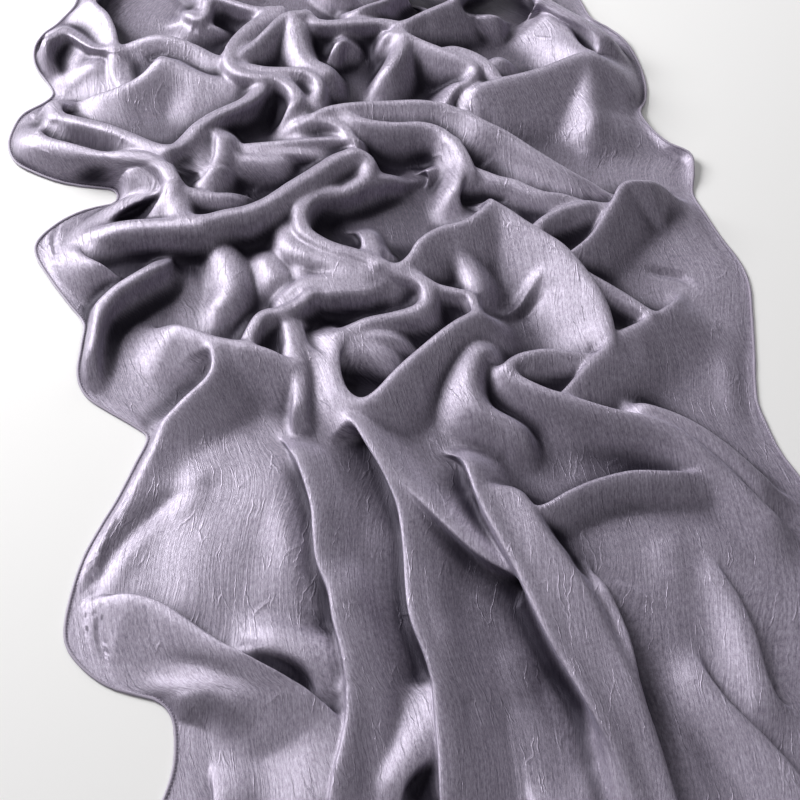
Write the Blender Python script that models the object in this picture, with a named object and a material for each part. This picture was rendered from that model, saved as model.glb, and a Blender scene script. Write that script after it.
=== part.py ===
"""A satin scarf laid out on a flat surface and gathered into folds.

The scarf is one length of crinkled satin with a narrow rolled hem along each of
its four edges. The cloth is a thin wall over a field of folds. Each fold is a
crest line with a height and a width on either side, and the cloth lies over the
softened maximum of them all. It comes down flat to the surface at its edges.

Metres, +Z up, the surface is z = 0, and the short end nearest the front is -Y.
"""

import bpy
import numpy as np
from mathutils import Vector
from mathutils.bvhtree import BVHTree
from mathutils.geometry import delaunay_2d_cdt

# Driving dimensions. The tables below are in millimetres.
MM = 0.001
WALL = 1.6
SEAM_GAP = 0.3
HEM_WIDTH = 3.0
HEM_HEIGHT = 2.2
HEM_CORNER = 0.7
HEM_LEAN = 0.2
EDGE_STEP = 13.0
CREST_STEP = 8.0
SOFT_VALLEY = 2.2
CREST_ROUNDING = 5.0
FADE = 48.0
FADED_TO = 0.3
JOINED = 13.0
LEVEL_WITH = 9.0
NARROW_SIDE = 15.0
BROAD_SIDE = 42.0
NARROW_SHOULDER = 2.0
BROAD_SHOULDER = 1.15
NARROW_FOOT = 0.62
BROAD_FOOT = 1.45
MARGIN = 16.0
SWELL = 15.0
SWELL_REACH = 40.0
PLAIN_UP_TO = -360.0
GATHERED_OVER = 180.0
STEEPEST = 0.36

# Cloth model
START_SPACING = 70.0
PROBE_SPACING = 6.0
PROBE_LEVEL = 500.0
SMALLEST_ERROR = 0.2
REFINE_ROUNDS = 14
CLOTH_POINTS = 2900

# Crest lines and edges were measured by eye along the line of sight, on a level
# above the surface. A point of another height lies nearer to or further from it.
EYE = (0.0, -1001.5, 1193.5)
MEASURED_LEVEL = 30.0

SATIN = (0.262, 0.241, 0.322, 1.0)
SATIN_ROUGHNESS = 0.38
HEM_ROUGHNESS = 0.45

# Name, width of the left side, width of the right side, crest points (x, y, height).
# Walking along the crest, the left side is on the left hand.
FOLDS = [
    ("corner curl", 16, 7,
     [(-412, 568, 30), (-432, 548, 34), (-434, 520, 30), (-424, 488, 18), (-408, 466, 8)]),
    ("corner flap edge", 10, 60, [(-384, 624, 34), (-362, 596, 38), (-349, 560, 38), (-346, 530, 34)]),
    ("corner flap front", 6, 50, [(-346, 530, 34), (-372, 532, 32), (-400, 556, 30), (-418, 568, 28)]),
    ("corner tip left", 10, 26, [(-406, 464, 5), (-385, 480, 14), (-366, 497, 24)]),
    ("corner tip right", 12, 30, [(-366, 497, 24), (-346, 478, 20), (-326, 464, 22)]),
    ("corner rib", 20, 14, [(-341, 532, 34), (-342, 505, 30), (-334, 478, 25), (-320, 462, 24)]),
    ("corner fill", 30, 30, [(-398, 545, 20), (-384, 520, 20), (-380, 496, 16)]),
    ("arch", 14, 60,
     [(-335, 528, 30), (-312, 548, 36), (-288, 552, 38), (-260, 541, 37), (-234, 522, 34),
     (-208, 492, 30)]),
    ("bowl back left", 16, 90,
     [(-398, 428, 16), (-360, 438, 22), (-330, 453, 28), (-303, 478, 34), (-284, 508, 40)]),
    ("bowl back right", 40, 90,
     [(-284, 508, 40), (-262, 496, 38), (-240, 480, 35), (-205, 464, 32), (-175, 455, 30)]),
    ("bowl front", 17, 14,
     [(-404, 422, 22), (-392, 404, 30), (-350, 388, 35), (-315, 371, 37), (-284, 353, 39),
     (-262, 344, 40)]),
    ("bowl right", 20, 14,
     [(-262, 344, 40), (-246, 358, 40), (-230, 386, 40), (-206, 411, 40), (-180, 430, 40),
     (-165, 448, 40), (-158, 470, 40)]),
    ("lobe crest", 14, 58,
     [(-420, 408, 16), (-420, 385, 24), (-405, 364, 30), (-368, 348, 33), (-330, 333, 34),
     (-298, 319, 34), (-266, 300, 32)]),
    ("lobe rib", 14, 20, [(-400, 426, 26), (-398, 402, 27), (-391, 370, 24)]),
    ("s roll top", 16, 16,
     [(-338, 332, 32), (-312, 340, 40), (-286, 335, 42), (-264, 319, 42), (-255, 300, 42),
     (-254, 278, 40), (-260, 256, 36), (-274, 238, 32), (-296, 228, 28)]),
    ("neck down", 26, 20, [(-250, 292, 38), (-247, 268, 38), (-243, 248, 38), (-235, 232, 38)]),
    ("hem loop", 12, 12,
     [(-345, 286, 4), (-325, 296, 14), (-310, 302, 20), (-302, 292, 18), (-303, 270, 10),
     (-309, 250, 5)]),
    ("under flap", 8, 22,
     [(-262, 284, 26), (-280, 268, 22), (-302, 252, 18), (-318, 232, 15), (-333, 208, 14),
     (-338, 186, 14)]),
    ("roll left", 26, 22,
     [(-338, 184, 14), (-330, 204, 22), (-308, 219, 32), (-280, 225, 38), (-245, 226, 42),
     (-215, 226, 44)]),
    ("roll middle", 20, 24,
     [(-235, 232, 40), (-212, 232, 44), (-190, 242, 46), (-165, 250, 46), (-142, 264, 46),
     (-118, 288, 46), (-92, 312, 46), (-70, 334, 46), (-52, 343, 46)]),
    ("roll tip", 14, 16, [(-52, 343, 46), (-40, 338, 44), (-33, 322, 42), (-38, 302, 38), (-52, 288, 34)]),
    ("crinkled panel", 10, 22,
     [(-245, 284, 32), (-218, 274, 32), (-195, 272, 32), (-172, 284, 33), (-162, 272, 32)]),
    ("outer lobe hem", 10, 40,
     [(-366, 206, 10), (-350, 188, 18), (-334, 170, 22), (-310, 158, 25), (-288, 142, 27)]),
    ("side roll", 15, 15,
     [(-262, 202, 34), (-254, 184, 37), (-258, 164, 38), (-274, 148, 38), (-294, 130, 37),
     (-307, 108, 34), (-313, 84, 31), (-314, 50, 28), (-312, 20, 24), (-310, 0, 18), (-304, -14, 9)]),
    ("panel back", 13, 75,
     [(-268, 78, 22), (-245, 76, 30), (-215, 68, 35), (-190, 57, 38), (-165, 51, 39), (-150, 46, 39),
     (-130, 37, 37), (-110, 22, 33)]),
    ("panel edge", 70, 8,
     [(-188, 45, 39), (-185, 26, 38), (-189, 8, 36), (-202, -10, 32), (-216, -28, 27),
     (-228, -50, 22), (-236, -75, 18), (-244, -105, 15), (-256, -145, 12), (-268, -176, 10),
     (-279, -212, 9), (-285, -250, 8)]),
    ("rib a", 30, 30,
     [(-200, 210, 21), (-190, 189, 26), (-180, 165, 28), (-175, 137, 28), (-180, 104, 26),
     (-187, 62, 21)]),
    ("rib b", 26, 24, [(-157, 210, 21), (-145, 186, 25), (-135, 162, 27), (-126, 133, 27), (-122, 98, 24)]),
    ("rib c", 16, 14, [(-118, 189, 24), (-108, 165, 27), (-99, 143, 29), (-92, 118, 30)]),
    ("loop edge", 14, 14,
     [(-156, 46, 36), (-149, 74, 38), (-140, 92, 38), (-122, 97, 38), (-104, 108, 38), (-94, 120, 38)]),
    ("loop fill", 26, 26, [(-136, 58, 27), (-126, 72, 27)]),
    ("tube", 14, 14,
     [(-150, 613, 38), (-176, 590, 40), (-196, 560, 42), (-206, 530, 42), (-204, 502, 42),
     (-190, 483, 42), (-170, 477, 44), (-148, 475, 44), (-131, 464, 44), (-121, 444, 44),
     (-124, 422, 44), (-136, 402, 42), (-156, 395, 40)]),
    ("swirl outer", 11, 11,
     [(-185, 497, 40), (-160, 492, 42), (-130, 492, 44), (-106, 484, 44), (-94, 462, 42),
     (-98, 438, 38), (-108, 412, 32)]),
    ("kite left", 14, 50,
     [(-190, 503, 36), (-188, 522, 40), (-172, 546, 43), (-158, 570, 45), (-142, 597, 46),
     (-120, 602, 46)]),
    ("kite ridge", 26, 30,
     [(-132, 596, 46), (-128, 572, 44), (-125, 545, 42), (-116, 516, 40), (-104, 502, 40),
     (-92, 494, 40), (-88, 474, 40), (-82, 450, 36), (-76, 428, 30)]),
    ("back arch", 16, 14, [(-118, 600, 42), (-100, 582, 42), (-60, 583, 43), (-20, 584, 44), (2, 578, 44)]),
    ("back ridge", 14, 60, [(-8, 560, 44), (20, 592, 48), (45, 612, 50), (68, 628, 50)]),
    ("ring", 10, 10, [(-84, 498, 30), (-79, 528, 36), (-66, 552, 40), (-44, 560, 42)]),
    ("ring fill", 24, 24, [(-64, 532, 28), (-56, 516, 27)]),
    ("tongue top", 10, 44,
     [(-36, 546, 44), (-28, 556, 46), (-8, 561, 47), (8, 556, 47), (30, 540, 46), (52, 525, 46),
     (76, 510, 46), (90, 494, 44), (84, 474, 42), (68, 458, 38), (58, 440, 34)]),
    ("tongue rib", 40, 22,
     [(6, 556, 46), (6, 540, 46), (0, 518, 44), (-9, 496, 42), (-18, 474, 40), (-25, 452, 36),
     (-28, 432, 30)]),
    ("arc roll", 10, 11,
     [(44, 528, 38), (64, 533, 42), (86, 523, 43), (103, 506, 43), (114, 485, 41), (116, 466, 36)]),
    ("arc outer", 30, 14, [(95, 528, 32), (120, 505, 34), (138, 484, 34)]),
    ("back right ridge", 24, 60, [(112, 628, 46), (112, 600, 38), (108, 570, 26), (100, 545, 16)]),
    ("back right crest", 14, 75,
     [(150, 628, 36), (176, 600, 37), (196, 570, 37), (208, 545, 38), (226, 522, 40)]),
    ("back right outer", 26, 14,
     [(176, 628, 44), (205, 600, 44), (228, 580, 42), (246, 555, 38), (256, 530, 34), (262, 500, 30)]),
    ("right flap", 14, 110,
     [(56, 422, 34), (59, 438, 38), (78, 443, 41), (96, 458, 43), (116, 468, 45), (146, 480, 46),
     (176, 494, 46), (198, 506, 46), (218, 517, 46), (230, 516, 42)]),
    ("flap ridge", 80, 80,
     [(226, 512, 42), (222, 470, 36), (218, 430, 31), (222, 400, 27), (214, 368, 24), (204, 338, 20)]),
    ("long fold", 12, 60,
     [(-114, 390, 36), (-100, 405, 40), (-78, 421, 44), (-40, 428, 46), (8, 430, 48), (45, 425, 48),
     (74, 411, 48), (96, 393, 48), (122, 374, 46), (150, 346, 43), (186, 310, 38), (210, 288, 32),
     (228, 264, 24)]),
    ("hood", 12, 34,
     [(-66, 412, 42), (-46, 398, 43), (-10, 391, 44), (24, 390, 44), (48, 379, 44), (63, 356, 44),
     (70, 330, 42), (67, 300, 40), (60, 270, 38), (48, 236, 36)]),
    ("hood second", 12, 12, [(66, 362, 42), (76, 332, 42), (82, 306, 40), (92, 282, 38), (104, 262, 36)]),
    ("eye loop", 12, 11,
     [(-114, 388, 34), (-98, 396, 38), (-78, 394, 40), (-64, 384, 40), (-57, 370, 40), (-50, 360, 38)]),
    ("strand a", 8, 9, [(-196, 352, 24), (-160, 357, 30), (-120, 361, 34), (-84, 364, 36), (-54, 362, 36)]),
    ("strand b", 9, 11,
     [(-190, 342, 26), (-150, 346, 29), (-110, 341, 30), (-70, 337, 28), (-40, 330, 26),
     (-10, 320, 26)]),
    ("strand c", 12, 30, [(-196, 330, 28), (-160, 332, 30), (-125, 325, 30), (-100, 310, 28)]),
    ("v fold", 26, 13,
     [(-180, 400, 38), (-196, 398, 41), (-203, 384, 41), (-204, 362, 40), (-204, 340, 38),
     (-208, 316, 36), (-213, 294, 30)]),
    ("v left", 14, 14, [(-232, 380, 34), (-226, 350, 32), (-224, 322, 30), (-216, 296, 28)]),
    ("bowl peak", 18, 13,
     [(16, 333, 40), (2, 318, 37), (-20, 303, 35), (-42, 289, 35), (-62, 280, 35), (-86, 276, 36),
     (-101, 266, 38), (-109, 248, 40), (-109, 230, 40), (-104, 215, 40), (-90, 201, 40),
     (-70, 188, 40), (-45, 178, 40), (-22, 164, 40)]),
    ("bowl lip", 15, 14,
     [(-22, 164, 40), (0, 153, 40), (20, 143, 40), (30, 128, 40), (27, 110, 38), (14, 98, 36),
     (-10, 89, 35), (-36, 80, 34), (-58, 66, 30)]),
    ("outer rim", 11, 20,
     [(-116, 244, 28), (-120, 222, 31), (-118, 202, 34), (-108, 188, 36), (-80, 173, 37),
     (-50, 159, 37), (-31, 147, 37), (-21, 135, 37), (-26, 124, 35), (-44, 116, 32)]),
    ("rim panel", 12, 8,
     [(-109, 110, 30), (-96, 127, 33), (-76, 131, 34), (-55, 133, 34), (-38, 134, 34), (-27, 141, 34)]),
    ("inner rib", 22, 12, [(-50, 238, 24), (-43, 224, 29), (-36, 202, 33), (-29, 180, 37), (-22, 164, 40)]),
    ("dark rib", 24, 9, [(26, 330, 30), (34, 312, 26), (38, 296, 22)]),
    ("kite crest", 12, 90,
     [(-20, 160, 38), (0, 163, 41), (14, 180, 43), (22, 198, 44), (45, 218, 46), (70, 228, 47),
     (90, 245, 48), (101, 258, 48)]),
    ("kite crest right", 10, 90,
     [(101, 258, 48), (116, 248, 48), (134, 230, 48), (152, 212, 48), (172, 192, 48), (190, 162, 47),
     (205, 126, 45), (213, 96, 42), (214, 62, 38), (208, 42, 33)]),
    ("kite inner", 40, 30,
     [(45, 216, 38), (62, 188, 34), (76, 160, 32), (82, 135, 32), (78, 112, 33), (73, 92, 33)]),
    ("hollow rim", 12, 8,
     [(22, 142, 38), (42, 130, 38), (62, 123, 39), (73, 120, 40), (76, 105, 40), (72, 90, 40)]),
    ("major crest", 15, 70,
     [(-62, 62, 33), (-66, 34, 33), (-63, 6, 32), (-55, -15, 32), (-39, -26, 33), (-22, -15, 35),
     (-5, 8, 38), (16, 34, 41), (40, 60, 43), (62, 81, 44), (80, 92, 43)]),
    ("small bowl back", 10, 22, [(-60, 61, 33), (-36, 48, 31), (-10, 41, 31), (12, 42, 33)]),
    ("crinkled roll", 8, 9, [(-58, 64, 28), (-30, 62, 32), (0, 62, 33), (24, 66, 34)]),
    ("neck", 14, 12,
     [(-118, 94, 36), (-110, 70, 34), (-104, 42, 33), (-99, 15, 31), (-98, -15, 29), (-98, -45, 27),
     (-90, -75, 24)]),
    ("neck right", 8, 24,
     [(-100, 76, 30), (-92, 46, 30), (-78, 30, 30), (-68, 10, 29), (-58, -22, 28), (-46, -50, 28)]),
    ("pleat a", 62, 7,
     [(-113, -48, 27), (-104, -80, 30), (-95, -100, 31), (-87, -124, 31), (-80, -152, 30),
     (-77, -182, 29), (-73, -212, 28), (-62, -242, 27), (-57, -272, 26), (-49, -302, 25),
     (-44, -332, 24), (-42, -362, 23), (-45, -392, 22), (-52, -430, 20), (-58, -500, 14),
     (-64, -575, 7)]),
    ("pleat b", 66, 7,
     [(-42, -55, 32), (-30, -80, 33), (-17, -106, 33), (-8, -128, 32), (0, -152, 31), (4, -182, 30),
     (6, -212, 29), (8, -250, 28), (12, -276, 28), (22, -305, 27), (29, -332, 26), (32, -362, 25),
     (34, -400, 24), (35, -440, 22), (38, -510, 15), (40, -578, 7)]),
    ("pleat c", 50, 7,
     [(-44, -48, 33), (-20, -92, 33), (0, -118, 32), (20, -143, 31), (50, -180, 29), (80, -213, 27),
     (106, -237, 24)]),
    ("pleat d", 60, 8,
     [(44, -66, 29), (58, -84, 34), (66, -108, 37), (74, -138, 38), (90, -180, 37), (104, -214, 36),
     (116, -250, 35), (131, -292, 33), (150, -334, 31), (164, -364, 29), (178, -396, 26),
     (190, -440, 22), (200, -500, 15), (206, -575, 7)]),
    ("pleat d body", 14, 16,
     [(96, -150, 33), (112, -186, 34), (132, -222, 33), (150, -260, 31), (163, -300, 29),
     (176, -340, 27), (188, -385, 24), (197, -430, 20), (208, -500, 14), (216, -575, 6)]),
    ("pleat d right", 9, 50,
     [(158, -205, 22), (170, -222, 24), (181, -243, 25), (190, -270, 24), (197, -302, 23),
     (200, -342, 22), (203, -382, 21), (209, -424, 19), (220, -500, 13), (228, -578, 6)]),
    ("pleat e", 12, 30, [(32, -346, 18), (26, -374, 17), (15, -400, 16), (0, -424, 15), (-14, -470, 12)]),
    ("pleat f", 14, 10, [(168, -368, 16), (178, -398, 16), (190, -440, 15)]),
    ("turned edge", 9, 70,
     [(-284, -264, 9), (-262, -254, 13), (-240, -250, 17), (-214, -258, 20), (-190, -275, 22),
     (-160, -298, 23), (-130, -317, 23), (-100, -335, 22), (-75, -352, 21), (-60, -372, 19),
     (-55, -402, 17), (-57, -440, 15)]),
    ("turned back", 26, 14,
     [(-152, -290, 9), (-130, -287, 12), (-100, -296, 14), (-75, -310, 14), (-60, -327, 12),
     (-50, -347, 10)]),
    ("near hem rise", 24, 22,
     [(-235, -345, 5), (-205, -346, 9), (-178, -346, 11), (-158, -350, 11), (-144, -362, 9)]),
    ("right lobe top", 9, 60,
     [(186, 182, 30), (206, 206, 34), (222, 235, 38), (236, 264, 41), (247, 288, 43), (266, 292, 41),
     (290, 289, 35), (306, 277, 27), (318, 262, 16)]),
    ("pocket arch", 10, 24,
     [(147, 214, 40), (152, 230, 42), (165, 242, 42), (184, 252, 42), (204, 258, 40), (226, 258, 32)]),
    ("thin roll", 10, 9,
     [(150, 218, 40), (166, 196, 38), (186, 172, 36), (214, 140, 34), (238, 112, 32), (258, 90, 30)]),
    ("pocket back", 10, 30,
     [(84, 318, 34), (104, 302, 38), (126, 294, 40), (146, 280, 40), (160, 273, 40), (180, 271, 39),
     (200, 262, 36)]),
    ("right crest", 90, 10,
     [(304, 132, 20), (286, 108, 24), (265, 90, 28), (245, 76, 31), (216, 53, 35), (200, 36, 37),
     (184, 16, 38), (170, -2, 38), (158, -16, 36)]),
    ("bowl two back", 12, 24, [(108, 20, 39), (120, 33, 39), (145, 40, 38), (168, 38, 36), (188, 36, 34)]),
    ("bowl two front", 12, 46,
     [(108, 20, 39), (112, 8, 39), (130, -5, 40), (152, -16, 41), (178, -26, 41), (205, -36, 40),
     (236, -46, 38), (256, -57, 36), (272, -70, 34), (292, -93, 31), (312, -118, 28),
     (332, -148, 25), (356, -182, 20), (374, -205, 12)]),
    ("diagonal roll", 11, 12,
     [(196, -20, 32), (216, -18, 34), (240, -29, 34), (265, -41, 34), (290, -60, 33), (316, -88, 30),
     (345, -125, 22), (372, -160, 12)]),
    ("s ridge", 19, 48,
     [(98, 84, 34), (85, 55, 36), (73, 30, 38), (68, 6, 39), (70, -16, 38), (80, -37, 36),
     (110, -63, 30), (114, -87, 23), (113, -110, 15), (110, -132, 9)]),
    ("band crest", 8, 38,
     [(74, -132, 28), (92, -150, 28), (112, -157, 28), (134, -152, 29), (158, -136, 30),
     (188, -121, 31), (218, -113, 31), (250, -113, 30), (282, -116, 24), (310, -122, 15),
     (332, -132, 8)]),
    ("near right ridge", 10, 44,
     [(238, -292, 4), (254, -324, 10), (274, -358, 14), (300, -392, 14), (324, -432, 12),
     (348, -490, 9), (366, -570, 6)]),
    ("near right swell", 14, 40,
     [(256, -196, 10), (276, -220, 12), (292, -250, 13), (302, -290, 13), (306, -330, 12),
     (314, -358, 11), (336, -382, 9)]),
    ("far loop", 10, 12,
     [(-268, 640, 30), (-264, 612, 32), (-256, 596, 32), (-247, 590, 32), (-241, 600, 33),
     (-238, 625, 34), (-225, 632, 36), (-205, 624, 37), (-180, 613, 38), (-150, 613, 38)]),
    ("far valley a", 10, 14,
     [(-300, 600, 20), (-272, 594, 24), (-245, 580, 26), (-215, 572, 26), (-190, 570, 24)]),
    ("far valley b", 10, 14, [(-300, 580, 16), (-270, 566, 20), (-240, 558, 20), (-212, 548, 20)]),
    ("hole ring", 8, 8, [(2, 578, 44), (22, 590, 46), (32, 604, 44), (34, 625, 40), (30, 650, 36)]),
    ("far small", 8, 12,
     [(-70, 640, 40), (-66, 620, 42), (-58, 604, 42), (-40, 615, 44), (-20, 628, 44), (0, 650, 40)]),
    ("far roll a", 14, 30,
     [(-306, 735, 22), (-272, 700, 32), (-250, 672, 36), (-238, 645, 36), (-238, 625, 34)]),
    ("far roll b", 16, 34,
     [(-140, 765, 18), (-118, 725, 30), (-96, 690, 38), (-70, 660, 40), (-40, 640, 40)]),
    ("far roll c", 40, 14, [(68, 628, 50), (95, 665, 46), (108, 705, 38), (104, 752, 22)]),
    ("far roll d", 30, 14, [(0, 650, 40), (12, 690, 38), (4, 730, 30), (-10, 765, 16)]),
    ("far fold e", 40, 12, [(-384, 624, 34), (-374, 662, 30), (-352, 704, 22), (-330, 745, 10)]),
    ("far fold f", 16, 40, [(176, 628, 44), (160, 668, 36), (158, 710, 26), (150, 755, 12)]),
    ("far fold g", 20, 24, [(-190, 640, 36), (-196, 680, 32), (-206, 720, 26), (-222, 762, 12)]),
    ("near left pleat", 50, 7, [(-150, -400, 8), (-146, -450, 12), (-150, -510, 11), (-156, -575, 6)]),
    ("near mid pleat", 50, 7, [(110, -420, 9), (116, -470, 12), (122, -520, 10), (124, -575, 6)]),
    ("near right pleat", 40, 8, [(300, -470, 10), (306, -520, 10), (304, -575, 6)]),
]

# Each edge of the cloth: x, y and how far its underside is off the surface.
LEFT_EDGE = [
    (-300, 800, 0), (-330, 750, 0), (-372, 700, 0), (-396, 650, 0), (-402, 610, 0), (-420, 572, 14),
    (-437, 545, 14), (-438, 515, 8), (-428, 482, 0), (-412, 458, 0), (-404, 440, 0), (-412, 424, 0),
    (-434, 402, 0), (-441, 372, 0), (-440, 345, 0), (-428, 320, 0), (-402, 302, 0), (-372, 288, 0),
    (-345, 282, 0), (-318, 278, 0), (-308, 266, 0), (-312, 252, 0), (-340, 243, 0), (-366, 224, 0),
    (-385, 196, 0), (-383, 172, 0), (-362, 136, 0), (-340, 104, 0), (-320, 74, 0), (-318, 40, 0),
    (-317, 5, 0), (-306, -20, 0), (-284, -38, 0), (-255, -58, 0), (-240, -74, 0), (-248, -106, 0),
    (-260, -146, 0), (-272, -178, 0), (-283, -212, 0), (-289, -250, 0), (-290, -285, 0),
    (-284, -306, 0), (-266, -327, 0), (-244, -342, 0), (-222, -349, 0), (-204, -354, 0),
    (-190, -368, 0), (-184, -392, 0), (-184, -425, 0), (-196, -470, 0), (-214, -530, 0),
    (-228, -600, 0),
]
RIGHT_EDGE = [
    (150, 800, 0), (178, 740, 0), (205, 680, 0), (222, 625, 0), (233, 588, 5), (254, 566, 5),
    (271, 542, 5), (282, 505, 0), (287, 462, 0), (284, 428, 0), (276, 408, 6), (286, 380, 8),
    (304, 354, 9), (326, 337, 9), (326, 308, 6), (320, 268, 0), (330, 235, 0), (342, 200, 0),
    (357, 162, 0), (362, 130, 0), (359, 90, 0), (354, 40, 0), (349, 0, 0), (347, -30, 0),
    (352, -60, 0), (360, -92, 0), (374, -124, 0), (388, -160, 0), (396, -210, 0), (398, -270, 0),
    (396, -340, 0), (392, -420, 0), (390, -500, 0), (392, -600, 0),
]
NEAR_EDGE = [(-228, -600, 0), (-110, -606, 0), (20, -600, 0), (150, -607, 0), (280, -601, 0), (392, -600, 0)]
FAR_EDGE = [(150, 800, 0), (60, 806, 0), (-40, 799, 0), (-150, 806, 0), (-240, 800, 0), (-300, 800, 0)]

# Half the width of the level top that a few folds have.
FLAT_TOPS = {"pleat d body": 16.0, "rim panel": 11.0}


def placed(points):
    """Measured points moved along the line of sight to their own height."""
    points = np.array(points, float)
    eye = np.array(EYE)
    share = (eye[2] - points[:, 2:]) / (eye[2] - MEASURED_LEVEL)
    points[:, :2] = eye[:2] + share * (points[:, :2] - eye[:2])
    return points


def smooth_path(points, step):
    """A Catmull-Rom curve through the points, with a point about every step."""
    ends = np.vstack([2 * points[0] - points[1], points, 2 * points[-1] - points[-2]])
    path = [points[:1]]
    for a, b, c, d in zip(ends[:-3], ends[1:-2], ends[2:-1], ends[3:]):
        count = max(1, int(np.ceil(np.hypot(*(c - b)[:2]) / step)))
        t = (np.arange(1, count + 1) / count)[:, None]
        path.append(
            0.5 * (2 * b + (c - a) * t + (2 * a - 5 * b + 4 * c - d) * t**2 + (3 * b - a - 3 * c + d) * t**3)
        )
    return np.vstack(path)


def eased(share):
    """0 to 1 with a level start and end: 3 t squared less 2 t cubed."""
    share = np.clip(share, 0, 1)
    return share * share * (3 - 2 * share)


def profile(distance, width, flat):
    """Share of the crest height left at a distance: round on a narrow side, hollow on a broad one.

    It is (1 - t to the power of the shoulder) to the power of the foot, where t is the distance over the width.
    """
    broad = eased((width - NARROW_SIDE) / (BROAD_SIDE - NARROW_SIDE))
    shoulder = NARROW_SHOULDER + (BROAD_SHOULDER - NARROW_SHOULDER) * broad
    foot = NARROW_FOOT + (BROAD_FOOT - NARROW_FOOT) * broad
    distance = np.hypot(np.maximum(distance - flat, 0), CREST_ROUNDING) - CREST_ROUNDING
    return (1 - np.clip(distance / width, 0, 1) ** shoulder) ** foot


def stretch_heights(x, y, start, end, following, left, right, flat):
    """Heights over one straight stretch of a crest, and over the fan at its joint with the next."""
    run = end[:2] - start[:2]
    length = np.hypot(*run)
    run = run / length
    along = (x - start[0]) * run[0] + (y - start[1]) * run[1]
    across = run[0] * (y - start[1]) - run[1] * (x - start[0])
    width = np.where(across > 0, left, right)
    crest = start[2] + (end[2] - start[2]) * np.clip(along / length, 0, 1)
    beside = (along >= 0) & (along <= length)
    heights = np.where(beside, crest * profile(np.abs(across), width, flat), 0)
    if following is not None:
        turn = following[:2] - end[:2]
        before = (x - end[0]) * turn[0] + (y - end[1]) * turn[1] < 0
        fan = end[2] * profile(np.hypot(x - end[0], y - end[1]), width, flat)
        heights = np.where((along > length) & before, fan, heights)
    return heights


def end_heights(x, y, end, inner, left, right, flat):
    """Heights over the rounded end of a crest, whose width turns from the left one to the right one."""
    run = (end[:2] - inner[:2]) / np.hypot(*(end[:2] - inner[:2]))
    dx, dy = x - end[0], y - end[1]
    reach = np.hypot(dx, dy) + 1e-9
    share = 0.5 + 0.5 * (run[0] * dy - run[1] * dx) / reach
    beyond = dx * run[0] + dy * run[1] > 0
    return np.where(beyond, end[2] * profile(reach, right + (left - right) * share, flat), 0)


def crest_paths():
    """Each fold's crest as a smooth path. A free end fades out, and one that meets another crest keeps its height."""
    paths = [smooth_path(placed(points), CREST_STEP) for _, _, _, points in FOLDS]
    faded = []
    for k, path in enumerate(paths):
        others = np.vstack(paths[:k] + paths[k + 1 :])
        run = np.concatenate([[0], np.cumsum(np.hypot(*np.diff(path[:, :2], axis=0).T))])
        reach = min(FADE, 0.45 * run[-1])
        path = path.copy()
        for end, along in ((path[0].copy(), run), (path[-1].copy(), run[-1] - run)):
            away = np.hypot(*(others[:, :2] - end[:2]).T)
            if not np.any((away < JOINED) & (others[:, 2] > end[2] - LEVEL_WITH)):
                path[:, 2] *= FADED_TO + (1 - FADED_TO) * eased(along / reach)
        faded.append(path)
    return faded


def fold_heights(x, y, swell):
    """The softened maximum of the gentle swell and every fold, at flat arrays of points."""
    total = np.exp(swell / SOFT_VALLEY)
    for (name, left, right, _), path in zip(FOLDS, CRESTS):
        flat = FLAT_TOPS.get(name, 0.0)
        reach = max(left, right) + flat
        low, high = path[:, :2].min(0) - reach, path[:, :2].max(0) + reach
        near = np.flatnonzero((x > low[0]) & (x < high[0]) & (y > low[1]) & (y < high[1]))
        px, py = x[near], y[near]
        best = np.maximum(
            end_heights(px, py, path[0], path[1], right, left, flat),
            end_heights(px, py, path[-1], path[-2], left, right, flat),
        )
        last = len(path) - 2
        for j in range(last + 1):
            following = path[j + 2] if j < last else None
            stretch = stretch_heights(px, py, path[j], path[j + 1], following, left, right, flat)
            best = np.maximum(best, stretch)
        total[near] += np.exp(best / SOFT_VALLEY) - 1
    return SOFT_VALLEY * np.log(total)


def outline():
    """The closed edge of the cloth, anticlockwise from its far left corner, and the index of each corner."""
    sides = []
    for table in (LEFT_EDGE, NEAR_EDGE, RIGHT_EDGE[::-1], FAR_EDGE):
        side = smooth_path(placed(table), EDGE_STEP)
        sides.append(side[:-1])
    corners = np.cumsum([0] + [len(side) for side in sides])
    edge = np.vstack(sides)
    edge[:, 2] = np.maximum(edge[:, 2], 0)
    return edge, corners


def distance_to_edge(x, y, edge):
    """The distance from each point to the edge, and the lift of the edge there."""
    start, end = edge, np.roll(edge, -1, axis=0)
    nearest = np.full(len(x), np.inf)
    lift = np.zeros(len(x))
    for a, b in zip(start, end):
        run = b[:2] - a[:2]
        t = np.clip(((x - a[0]) * run[0] + (y - a[1]) * run[1]) / (run @ run), 0, 1)
        distance = np.hypot(x - a[0] - t * run[0], y - a[1] - t * run[1])
        closer = distance < nearest
        nearest = np.where(closer, distance, nearest)
        lift = np.where(closer, a[2] + t * (b[2] - a[2]), lift)
    return nearest, lift


def cloth_heights(x, y, edge):
    """The top of the cloth: folds inside, coming down over the margin to the lift of its edge."""
    distance, lift = distance_to_edge(x, y, edge)
    gathered = np.clip((y - PLAIN_UP_TO) / GATHERED_OVER, 0, 1)
    swell = SWELL * gathered * (1 - np.exp(-distance / SWELL_REACH))
    heights = np.maximum(fold_heights(x, y, swell), WALL)
    rise = 1 - (1 - np.clip(distance / MARGIN, 0, 1)) ** 2
    floor = lift + WALL
    return floor + (heights - floor) * rise


def inside(x, y, edge):
    """Whether each point is within the outline, by counting the sides that it crosses."""
    within = np.zeros(len(x), bool)
    for a, b in zip(edge, np.roll(edge, -1, axis=0)):
        spans = (a[1] > y) != (b[1] > y)
        crossing = a[0] + (y - a[1]) * (b[0] - a[0]) / (b[1] - a[1] + 1e-12)
        within ^= spans & (x < crossing)
    return within


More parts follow.
